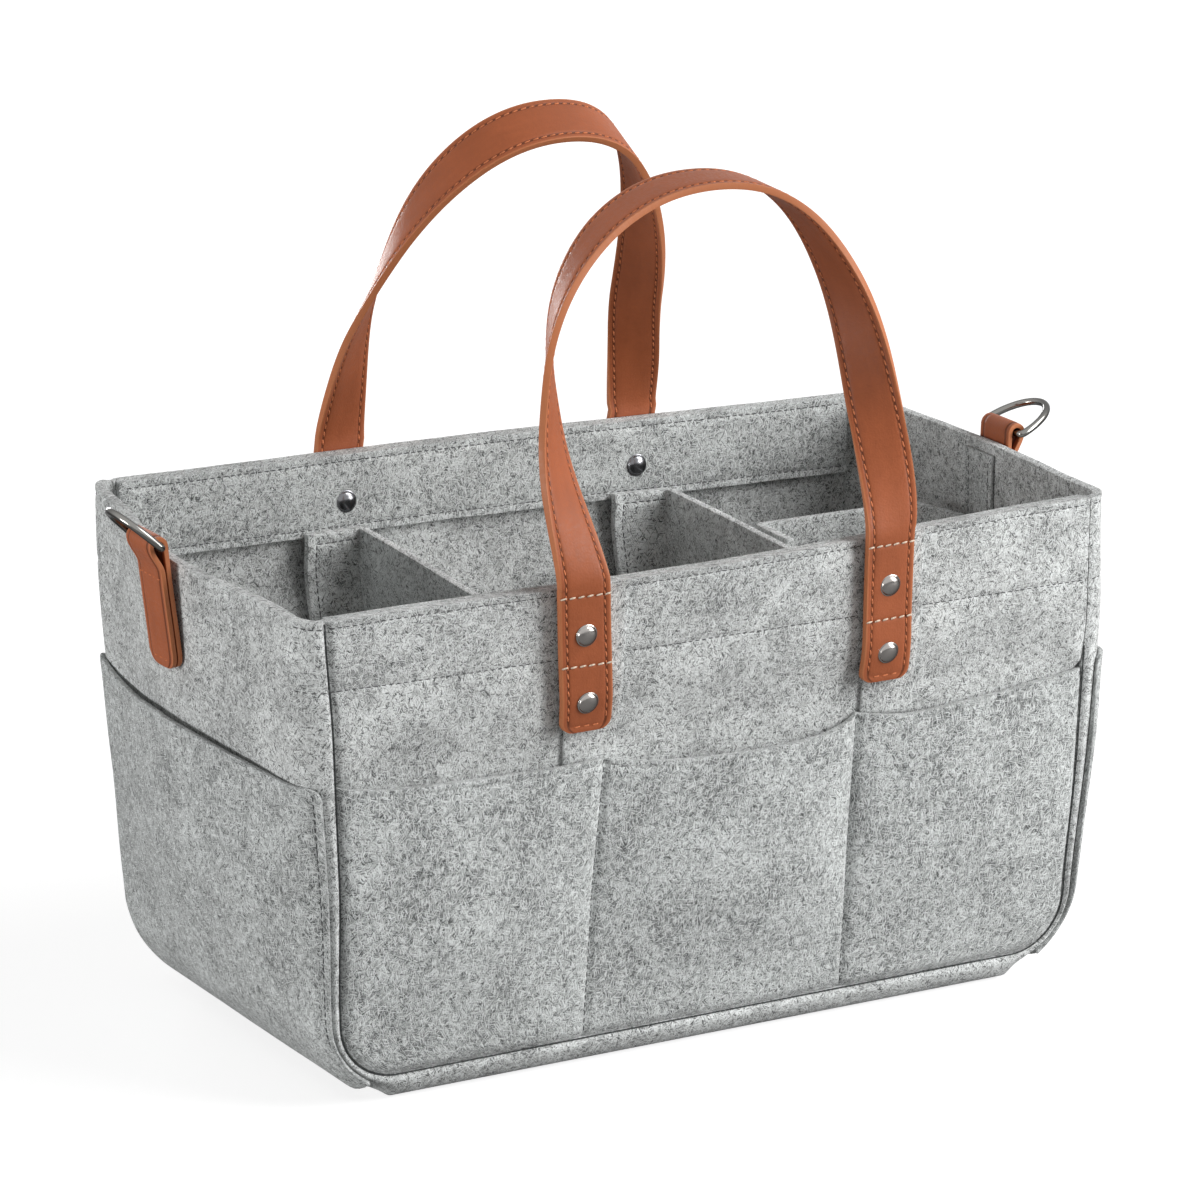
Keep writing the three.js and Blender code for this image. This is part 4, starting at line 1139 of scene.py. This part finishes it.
class Strap:
    """One leather strap: up from a tab, over the loop and down to the other tab."""

    def __init__(self, name):
        shape = HANDLES[name]
        self.side = shape["side"]
        hinge = JOINTS[f"{name}_handle_fold"]["pos_m"]
        self.hinge_y, self.hinge_z = hinge[1] / MM, hinge[2] / MM
        left, right = (self.half(shape, end) for end in (LEFT, RIGHT))
        self.foot_z = [left[0, 0, 2], right[0, 0, 2]]
        parts = [self.tab(shape, LEFT), left, right[:, ::-1], self.tab(shape, RIGHT)[:, ::-1]]
        pieces = [part[:, :-1] for part in parts] + [parts[-1][:, -1:]]
        self.centre, self.across, self.through = np.concatenate(pieces, axis=1)
        self.length = run_length(self.centre)
        self.total = self.length[-1]

    def foot(self, shape, end):
        x = shape["feet"][end]
        return x, self.hinge_z + slope_of_rest(x, self.hinge_y)

    def wall_out(self, x, z):
        """How far out the middle of the strap lies on the wall at a settled height."""
        raw = unsettled(x, self.hinge_y, z)
        return wall_face(self.side, x, raw) + TAB_OFFSET + STRAP_THICKNESS / 2

    def tab(self, shape, end):
        """The middle, across and outward directions of a tab, from its end up to the loop's foot."""
        x, top = self.foot(shape, end)
        low = TAB_BOTTOM + np.array([0, 0.25, 0.7, 1.3, 1.9, 2.5, 3.1, 3.8, 5, 6.5, 8])
        z = np.concatenate([low, np.linspace(148, top, 30)])
        z = z[z <= top]
        low_x, straight = shape["tabs"][end], shape["straight"]
        xs = low_x + (x - low_x) * np.clip((z - straight) / (top - straight), 0, 1)
        centre = joined(xs, self.side * self.wall_out(xs, z), z)
        return np.stack([centre, alike((end, 0, 0), z), alike((0, -1, 0), z)])

    def half(self, shape, end):
        """The same for half of the loop, from its foot up to its top."""
        t = np.linspace(0, 1, 90)[:, None]
        height = shape["height"]
        shares = (1 - t) ** 3, 3 * t * (1 - t) ** 2, 3 * t * t * (1 - t), t ** 3
        knots = np.array([(STRAP_SPAN, 0), (STRAP_SPAN + shape["spread"], shape["shoulder"]),
                          (shape["crown"], height), (0, height)], float)
        flat = sum(share * knot for share, knot in zip(shares, knots))
        out, w = end * flat[:, 0], flat[:, 1]
        foot_x, foot_z = self.foot(shape, end)
        ease = 1 - smooth(w / LOOP_EASE)
        x = out + (foot_x - end * STRAP_SPAN) * ease + softened(w, shape["sway"][end], 14)
        lean = math.radians(shape["lean"])
        start = np.exp(-w / LOOP_STIFF)
        leaned = w - LOOP_STIFF * (1 - start) * (1 - smooth(w / 125))
        foot_y = self.side * self.wall_out(foot_x, foot_z)
        y = self.hinge_y + (foot_y - self.hinge_y) * ease - self.side * leaned * math.sin(lean)
        z = self.hinge_z + w * math.cos(lean) + slope_of_rest(x, self.hinge_y)
        z[0] = foot_z
        run = unit(np.gradient(joined(x, w), axis=0)) * -end
        twist = np.pi / 2 * np.clip(1 - w / height, 0, 1) ** TWIST_POWER
        across = joined(-run[:, 1] * np.sin(twist), -np.cos(twist), run[:, 0] * np.sin(twist))
        along = joined(run[:, 0], 0, run[:, 1])
        top = smooth(w / height)
        turn = self.side * lean * (1 - start) * (1 - top) + math.radians(shape["roll"]) * top
        cos, sin = np.cos(turn), np.sin(turn)
        turned = [joined(v[:, 0], v[:, 1] * cos - v[:, 2] * sin, v[:, 1] * sin + v[:, 2] * cos)
                  for v in (across, np.cross(along, across))]
        return np.stack([joined(x, y, z), *turned])

    def at(self, s):
        return [sampled(s, self.length, line) for line in (self.centre, self.across, self.through)]

    def from_tab(self, end, s):
        """The place along the strap that is s from the end of a tab."""
        return s if end == LEFT else self.total - s

    def from_end(self, s):
        return np.minimum(s, self.total - s)

    def half_width(self, s):
        return rounded_half(self.from_end(s), TAB_CORNER)

    def inset(self, a, s):
        """Distance of a place on the strap from its outline."""
        end = self.from_end(s)
        corner_a = np.abs(a) - (HALF_STRAP - TAB_CORNER)
        corner_s = TAB_CORNER - end
        square = np.minimum(HALF_STRAP - np.abs(a), end)
        rounded = TAB_CORNER - np.hypot(np.clip(corner_a, 0, None), np.clip(corner_s, 0, None))
        return np.where((corner_a > 0) & (corner_s > 0), rounded, square)

    def point(self, a, s, depth, raised=0.0):
        """A point of the strap: a across it, s along it, depth 0 on the face that looks to the front."""
        centre, across, through = self.at(s)
        x, z = centre[..., 0], centre[..., 2]
        on_wall = 1 - smooth((z - min(self.foot_z) + 6) / 14)
        raw = unsettled(x, self.hinge_y, np.minimum(z, self.hinge_z))
        bend = wall_face(self.side, x + a * np.sign(across[..., 0]), raw) - wall_face(self.side, x, raw)
        centre = centre + joined(0, self.side * bend * on_wall, 0)
        edge = np.clip(np.abs(a) / HALF_STRAP, 0, 1)
        half = STRAP_THICKNESS / 2 - 0.22 * edge ** 6
        half = half - pinch(self.inset(a, s) - STRAP_EDGE, 0.34, 0.6) + raised
        return centre + a[..., None] * across + ((1 - 2 * depth) * half)[..., None] * through

    def rim_rows(self):
        """Where the two rim lines cross each tab, as places along the strap."""
        rows = []
        for end, tab in ((LEFT, 0), (RIGHT, -1)):
            x = self.centre[tab, 0]
            lift = 1 + slope_of_rest(x, self.hinge_y) / RIM_HEIGHT
            for height in (RIM_LEVEL + 1.2, float(facing_line(self.side, x)) - 0.8):
                rows.append(self.from_tab(end, height * lift - TAB_BOTTOM))
        return rows


def make_handle(name):
    strap = Strap(name)
    half = HALF_STRAP
    inner = half - STRAP_EDGE
    by_stitches = inner + np.array([-3.5, -1.5, -0.7, -0.3, 0, 0.3, 0.7])
    columns = np.concatenate([[half, half - 0.5, half - 1.2, 2], by_stitches])
    columns = np.unique(np.concatenate([-columns, columns]))
    crossings = strap.rim_rows()
    rows = [s for s in strap.length if all(abs(s - c) > 1.3 for c in crossings)]
    rows = np.unique(rows + [c + d for c in crossings for d in (-1.1, -0.55, 0, 0.55, 1.1)])

    def face(a, s, depth):
        narrow = a * strap.half_width(s) / half
        outer_face = depth if strap.side == BACK else 1 - depth
        dents = sum(pinch(s - c, 0.3, 0.6) for c in crossings)
        return strap.point(narrow, s, depth, -dents * outer_face)

    piece = shell(f"leather_{name}_handle", columns, rows, face, rounding=0.8, segments=3, strap=True)
    dress(piece, LEATHER, None, "leather",
          f"{name}_handle_loop", f"{name}_left_handle_tab", f"{name}_right_handle_tab")
    lines = []
    outer = 0.0 if strap.side == FRONT else 1.0
    for depth in (0.0, 1.0):
        start = STRAP_EDGE + 2.5 if depth == outer else INNER_STITCHES
        for a in (-inner, inner):
            lines.append(strap_stitches(strap, a, start, strap.total - start, depth))
        if depth == outer:
            for s in (STRAP_EDGE, strap.total - STRAP_EDGE):
                lines.append(strap_row(strap, s, inner - 2.2, depth, LEATHER_PITCH))
    stitches = thread(f"thread_{name}_handle", lines, stitch=2.7, radius=0.4)
    dress(stitches, TAN_THREAD, None, "leather")
    for item in (piece, stitches):
        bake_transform(item)
    rows = [strap_row(strap, s, half + 0.6, outer, 3.7, raised=0.12) for s in crossings]
    rows = thread(f"thread_{name}_tab_rows", rows, stitch=2.9, radius=0.38)
    dress(rows, PALE_THREAD, "basket", "leather")
    make_rivets(name, strap)


def strap_stitches(strap, a, start, end, depth):
    def place(s):
        through = strap.at(s)[2]
        return strap.point(np.full_like(s, a), s, np.full_like(s, depth)), (1 - 2 * depth) * through
    return stitch_line(place, start, end, LEATHER_PITCH, slant=7, sunk=-0.05)


def strap_row(strap, s, reach, depth, pitch, raised=0.0):
    def place(a):
        along = np.full_like(a, s)
        _, _, through = strap.at(along)
        return strap.point(a, along, np.full_like(a, depth), raised), (1 - 2 * depth) * through
    return stitch_line(place, -reach, reach, pitch, slant=8, sunk=-0.02)


# Rivets

def dome(radius, height, rim_radius, rim_height, shank):
    """Profile of a domed head on a thin flange, with its shank, from the top down."""
    arc = [(radius * math.sin(a), rim_height + height * math.cos(a)) for a in np.linspace(0, math.pi / 2, 7)]
    flange = [(radius + 0.12, rim_height - 0.12), (rim_radius - 0.12, rim_height - 0.1),
              (rim_radius, rim_height - 0.22), (rim_radius, 0), (1.5, 0), (1.5, -shank), (0, -shank)]
    return arc + flange


def make_rivets(name, strap):
    head = dome(4.0, 1.5, 4.55, 0.45, STRAP_THICKNESS + TAB_OFFSET + 3)
    cap = dome(4.2, 1.6, 4.7, 0.5, 2)
    outer = 0.0 if strap.side == FRONT else 1.0
    for end_name, end in ENDS.items():
        slope = slope_of_rest(HANDLES[name]["tabs"][end], strap.hinge_y)
        for row, height in RIVET_HEIGHTS.items():
            if strap.side == BACK:
                height += BACK_RIVET_RISE + slope * height / RIM_HEIGHT
            s = np.array([strap.from_tab(end, height - TAB_BOTTOM)])
            foot = strap.point(np.zeros(1), s, np.full(1, outer))[0]
            x = foot[0]
            raw = unsettled(x, strap.hinge_y, height)
            lean = (wall_face(strap.side, x, raw + 1) - wall_face(strap.side, x, raw - 1)) / 2
            normal = Vector((0, strap.side, -float(lean))).normalized()
            node = f"{name}_{end_name}_{row}_rivet"
            piece = lathe(f"metal_{node}", head)
            stand_on(piece, foot - 0.1 * np.array(normal), normal)
            dress(piece, NICKEL, "basket", "hardware", node)
            under = WALL_FELT + (FACING_FELT + FIT if row == "upper" else 0) - 0.3
            inside = wall_point(strap.side, np.array([x]), np.array([raw]), under)[0]
            piece = lathe(f"metal_{node}_cap", cap)
            stand_on(piece, inside, -normal)
            dress(piece, GUNMETAL, "basket", "hardware", f"{node}_cap")


# Rings and their tabs

def ring_frame(end):
    """Origin and directions of a ring tab: out from the end, across it, and up along it."""
    lean = math.atan((half_length(RIM_HEIGHT) + END_BOW[end] - half_length(0)) / RIM_HEIGHT)
    bottom = RING_TAB_BOTTOM[end]
    face = half_length(bottom) + END_BOW[end] * bottom / RIM_HEIGHT
    out = np.array([end * math.cos(lean), 0, -math.sin(lean)])
    up = np.array([end * math.sin(lean), 0, math.cos(lean)])
    return np.array([end * face, 0, bottom]), out, np.array([0, float(end), 0]), up


def ring_tab_path(bar):
    """The folded leather's middle line as (out, up): up its back, over the bar, down its front."""
    mid = LOOP_LEATHER / 2
    radius = LOOP_BORE + mid
    foot = [0, 0.4, 1, 2, 3.2, 4.6, 6]
    back = [(FIT + mid, z) for z in [*foot, *np.linspace(8, bar, 14)]]
    over = [(BAR_OUT - radius * math.cos(a), bar + radius * math.sin(a))
            for a in np.linspace(0, math.pi, 13)[1:]]
    front_x = FIT + LOOP_LEATHER + 0.12 + mid
    taper = [(front_x + (BAR_OUT + radius - front_x) * float(smooth(1 - t)), bar - LOOP_TAPER * t)
             for t in np.linspace(0, 1, 9)[1:]]
    front = [(front_x, z) for z in [*np.linspace(bar - LOOP_TAPER, 8, 12)[1:], *foot[::-1]]]
    return np.array(back + over + taper + front)


def make_ring(name, end):
    origin, out, across, up = ring_frame(end)
    joint = np.array(JOINTS[f"{name}_ring_swing"]["pos_m"]) / MM
    bar = float(np.dot(joint - origin, up))
    path = ring_tab_path(bar)
    run = unit(np.gradient(path, axis=0))
    normal = joined(-run[:, 1], run[:, 0])
    length = run_length(path)
    half = HALF_STRAP
    columns = np.array([half - v for v in (0, 0.5, 1.2, 1.8, LOOP_GROOVE, 2.6, 3.3)] + [6, 2])
    columns = np.unique(np.concatenate([-columns, columns]))

    def place(a, s, lift):
        centre = sampled(s, length, path)
        side = unit(sampled(s, length, normal))
        narrow = rounded_half(centre[..., 1], RING_TAB_CORNER)
        centre = centre + side * np.asarray(lift)[..., None]
        drawn = end_draw(end, RING_TAB_BOTTOM[end]) * (1 - smooth(centre[..., 1] / (bar - 4)))
        y = np.asarray(a * narrow / half)[..., None]
        return origin + (centre[..., 0:1] - drawn[..., None]) * out + y * across + centre[..., 1:2] * up

    def face(a, s, depth):
        groove = pinch(half - LOOP_GROOVE - np.abs(a), 0.3, 0.5) * (1 - depth)
        thick = LOOP_LEATHER / 2 - 0.25 * np.clip(np.abs(a) / half, 0, 1) ** 6
        return place(a, s, np.where(depth < 0.5, thick - groove, -thick))

    piece = shell(f"leather_{name}_ring_tab", columns, length, face, rounding=0.6, segments=3, strap=True)
    dress(piece, LEATHER, "basket", "leather", f"{name}_ring_tab")
    rows = []
    # one row of stitches near the tab's end and one below the bar
    for up_at, reach in ((3.4, 7.0), (bar - LOOP_TAPER - 2.5, 9.5)):
        def row(a, s=length[-1] - up_at):
            return place(a, np.full_like(a, s), np.full_like(a, LOOP_LEATHER / 2)), alike(out, a)
        rows.append(stitch_line(row, -reach, reach, 3.6, slant=7, sunk=0.1))
    rows = thread(f"thread_{name}_ring_tab", rows, stitch=2.4, radius=0.35)
    dress(rows, TAN_THREAD, "basket", "leather")
    make_d_ring(name, end, joint)


def d_path(angle, farthest):
    """The D's middle line and its in-plane normal: a straight bar on the hinge and a bow that reaches out."""
    straight = RING_HALF - RING_CORNER
    t = np.linspace(0, 1, 200)
    bar = joined(0, straight * (2 * t - 1))
    corner = np.linspace(0, np.pi / 2, 40)[1:]
    first = joined(1 - np.cos(corner), np.sin(corner)) * RING_CORNER + [0, straight]
    bow = np.linspace(0, np.pi, 400)[1:-1]
    arch = joined(RING_CORNER + (farthest - RING_CORNER) * np.sin(bow), RING_HALF * np.cos(bow))
    closed = np.concatenate([bar, first, arch, first[::-1] * [1, -1], bar[:1]])
    length = run_length(closed)
    at = (angle % (2 * np.pi)) / (2 * np.pi) * length[-1]
    centre, ahead, behind = (sampled((at + d) % length[-1], length, closed) for d in (0, 0.3, -0.3))
    run = unit(ahead - behind)
    return centre, joined(run[:, 1], -run[:, 0])


def make_d_ring(name, end, joint):
    piece = primitive(bpy.ops.mesh.primitive_torus_add, f"metal_{name}_d_ring",
                      major_segments=112, minor_segments=16, major_radius=10, minor_radius=1)
    at = read_points(piece.data)
    around = np.arctan2(at[:, 1], at[:, 0])
    off = (np.hypot(at[:, 0], at[:, 1]) - 10) * RING_WIRE / 2
    centre, normal = d_path(around, RING_REACH[end])
    flat = centre + off[:, None] * normal
    through = at[:, 2] * RING_WIRE / 2
    tilt = math.radians(RING_TILT[end])
    reach = np.array([end * math.cos(tilt), 0, math.sin(tilt)])
    square = np.array([-end * math.sin(tilt), 0, math.cos(tilt)])
    points = joint + flat[:, 0:1] * reach + flat[:, 1:2] * [0, 1, 0] + through[:, None] * square
    write_points(piece.data, points * MM)
    face_outwards(piece)
    shade_smooth(piece)
    dress(piece, RING_METAL, f"{name}_ring", "hardware", f"{name}_d_ring")


# Thread on the felt

def wall_line(side, line, offset, start, end, gaps=()):
    """Stitches along a line of the front or back; offset is where the felt's surface lies."""
    def place(x):
        facing = -side if offset > 1 else side
        return wall_point(side, x, line(side, x), np.full_like(x, offset)), alike((0, facing, 0), x)
    stitches = stitch_line(place, start, end)
    away = [np.abs(stitches[0][:, 0] - x) > HALF_STRAP + 1.5 for x in gaps]
    return [part[np.all(away, axis=0)] for part in stitches] if gaps else stitches


def felt_seams():
    lines = []
    half = half_length(RIM_HEIGHT) - SEAM_INSET - 1.5
    inside = WALL_FELT + FIT + FACING_FELT - 0.5
    for name, side in SIDES.items():
        tabs = list(HANDLES[name]["tabs"].values())
        for line in (rim_line, facing_line):
            lines.append(wall_line(side, line, 0.5, -half, half, tabs))
            lines.append(wall_line(side, line, inside, -half + 3, half - 3))
        for k in (1, 2):
            def divide(share, k=k, side=side):
                s = np.full_like(share, float(k))
                z = SEAM_INSET + 2 + share * (mouth_height(side, s - 0.001) - SEAM_INSET - 2)
                return pocket_point(side, s, z, np.zeros_like(share)), alike((0, side, 0), share)
            lines.append(stitch_line(divide, 0.0, 1.0, sunk=0.05))
    for end in ENDS.values():
        for edge in (-1, 1):
            turn = PATCH_WRAP - PATCH_STITCH / (UPRIGHT_RADIUS * np.pi / 2)
            angle = turn * np.pi / 2

            def patch(z, end=end, edge=edge, turn=turn, angle=angle):
                c = np.full_like(z, edge * (1 + turn))
                points = end_pocket_point(c, band_height(end, z), np.zeros_like(z))
                return points, alike((end * math.cos(angle), edge * math.sin(angle), 0), z)
            top = float(end_mouth(end, edge * 85.0)) - 3
            lines.append(stitch_line(patch, BOTTOM_RADIUS - 10, top, sunk=0.0))

            def strip(z, end=end, edge=edge):
                y = np.full_like(z, edge * (HALF_STRAP - STRIP_EDGE))
                return end_strip_point(end, y, z, np.ones_like(z)), alike((-end, 0, 0), z)
            lines.append(stitch_line(strip, 64, RIM_HEIGHT - 7, sunk=0.0))
            for line in (rim_line, facing_line):
                def past(c, end=end, edge=edge, line=line):
                    q = band_height(end, line(edge, END_X * end))
                    points = band_point(np.full_like(c, q), edge * c, np.full_like(c, 0.4))
                    turn = (c - 1) * np.pi / 2
                    return points, joined(end * np.cos(turn), edge * np.sin(turn), 0)
                lines.append(stitch_line(past, 1.15, 1.93))
    return lines


def painted_seam_shade():
    """Painted shade in the tight seams between the band and the front and back: unbroken dark lines made of
    thread beads.
    """
    lines = []
    for side in SIDES.values():
        for end in ENDS.values():
            def place(q, side=side, end=end):
                points = band_point(end * q, np.full_like(q, side * 1.985), np.full_like(q, 1.2))
                return points, alike((0, side, 0), q)
            top = BAND_HALF - 1 if end == LEFT else BAND_HALF - 62
            lines.append(stitch_line(place, 0.01, top, 2.0, sunk=0.0))
    return lines


def flange_stitches(x_plate):
    lines = []
    edge, top = DIVIDER_STITCH / FLANGE_FLAT, DIVIDER_TOP - DIVIDER_STITCH
    for facing in (1, -1):
        def on_flange(c, z, facing=facing):
            c = c if facing > 0 else 5 - c
            return cross_point(x_plate, c, z, np.ones_like(c)), alike((0, facing, 0), c)
        lines.append(stitch_line(lambda z: on_flange(np.full_like(z, edge), z),
                                 DIVIDER_BOTTOM + DIVIDER_STITCH, top, sunk=0.0))
        lines.append(stitch_line(lambda c: on_flange(c, np.full_like(c, top)), edge, 1.0, sunk=0.0))
    return lines


# Floor, light and camera

FLOOR_TONE = 0.34
FLOOR_GLOW = 0.82  # where the camera sees the floor, so that it is as pale as the backdrop
SKY = 0.25


def make_stage():
    floor = primitive(bpy.ops.mesh.primitive_plane_add, "floor", size=14, location=(0, 0, -0.0001))
    material, tree, shader = new_material("pale_floor", Roughness=0.9, Specular_IOR_Level=0.0)
    shader.inputs["Base Color"].default_value = (FLOOR_TONE, FLOOR_TONE, FLOOR_TONE, 1)
    shader.inputs["Emission Color"].default_value = (1, 1, 1, 1)
    seen = tree.nodes.new("ShaderNodeLightPath").outputs["Is Camera Ray"]
    connect(tree, shader, {"Emission Strength": calc(tree, "MULTIPLY", seen, FLOOR_GLOW)})
    floor.data.materials.append(material)


def make_world():
    world = bpy.data.worlds.new("studio")
    bpy.context.scene.world = world
    world.use_nodes = True
    tree = world.node_tree
    back = tree.nodes["Background"]
    back.inputs["Color"].default_value = (1, 1, 1, 1)
    path = tree.nodes.new("ShaderNodeLightPath").outputs
    seen = calc(tree, "MAXIMUM", path["Is Glossy Ray"], path["Is Transmission Ray"])
    seen = calc(tree, "MAXIMUM", path["Is Camera Ray"], seen)
    connect(tree, back, {"Strength": ramp(tree, seen, 0, 1, SKY, 1.0)})


def add_light(name, kind, place, target, **settings):
    light = bpy.data.lights.new(name, kind)
    for key, value in settings.items():
        setattr(light, key, value)
    lamp = put_in_scene(bpy.data.objects.new(name, light))
    lamp.location = place
    lamp.rotation_euler = (Vector(target) - Vector(place)).to_track_quat("-Z", "Y").to_euler()


CAMERA_AZIMUTH, CAMERA_ELEVATION, CAMERA_ROLL = -28.9, 16.0, -0.4
CAMERA_DISTANCE, CAMERA_RIGHT, CAMERA_UP = 2607.6, -0.9, 150.9
FOCAL_PIXELS, PHOTO_PIXELS, SENSOR = 6500, 1200, 36


def make_camera():
    angles = CAMERA_AZIMUTH, CAMERA_ELEVATION, CAMERA_ROLL
    azimuth, elevation, tilt = (math.radians(angle) for angle in angles)
    level = math.cos(elevation)
    back = Vector((math.sin(azimuth) * level, -math.cos(azimuth) * level, math.sin(elevation)))
    right = Vector((math.cos(azimuth), math.sin(azimuth), 0))
    up = back.cross(right)
    cos, sin = math.cos(tilt), math.sin(tilt)
    right, up = cos * right + sin * up, cos * up - sin * right
    place = (back * CAMERA_DISTANCE + right * CAMERA_RIGHT + up * CAMERA_UP) * MM
    data = bpy.data.cameras.new("camera")
    data.sensor_width = SENSOR
    data.lens = FOCAL_PIXELS / PHOTO_PIXELS * SENSOR
    camera = put_in_scene(bpy.data.objects.new("camera", data))
    camera.matrix_world = Matrix((right, up, back)).transposed().to_4x4()
    camera.location = place
    bpy.context.scene.camera = camera


make_camera()
make_stage()
make_world()
add_light("key", "SUN", (0.604, -0.506, 0.616), (0, 0, 0), energy=2.33, angle=math.radians(40))
bpy.context.scene.view_settings.view_transform = "Standard"

make_band()
for wall_name, wall_side in SIDES.items():
    make_panel(wall_name, wall_side)
    make_facing(wall_name, wall_side)
    make_pocket_panel(wall_name, wall_side)
    for end_name, end in ENDS.items():
        make_strip(wall_name, wall_side, end_name, end)
for end_name, end in ENDS.items():
    make_end_pocket(end_name, end)
    make_end_strip(end_name, end)
    make_ring(end_name, end)
for divider_name, divider_x in DIVIDER_X.items():
    make_cross_divider(divider_name, divider_x)
make_length_divider()
make_hooks()
for handle_name in HANDLES:
    make_handle(handle_name)
dress(thread("thread_felt_seams", felt_seams()), GREY_THREAD_SHADED, "basket", "felt")
# A dark unbroken line in each tight seam: painted shade for the seam's gap.
seam_shade_lines = thread("thread_closed_seams", painted_seam_shade(), stitch=2.9, radius=0.33)
dress(seam_shade_lines, SEAM_SHADE_COLOUR, "basket", "felt")
for divider_name, divider_x in DIVIDER_X.items():
    stitches = thread(f"thread_{divider_name}_divider", flange_stitches(divider_x))
    dress(stitches, GREY_THREAD_SHADED, "basket", "felt")

add_light("left_fill", "AREA", (-2.35, -0.12, 0.14), (0, 0, 0.12), energy=44, shape="DISK", size=0.9)
add_light("right_fill", "AREA", (0.68, -0.72, 0.36), (0, 0, 0.1), energy=5, shape="DISK", size=0.4)
add_light("back_fill", "AREA", (0.5, 2.6, 0.3), (0, 0, 0.12), energy=34, shape="DISK", size=0.9)
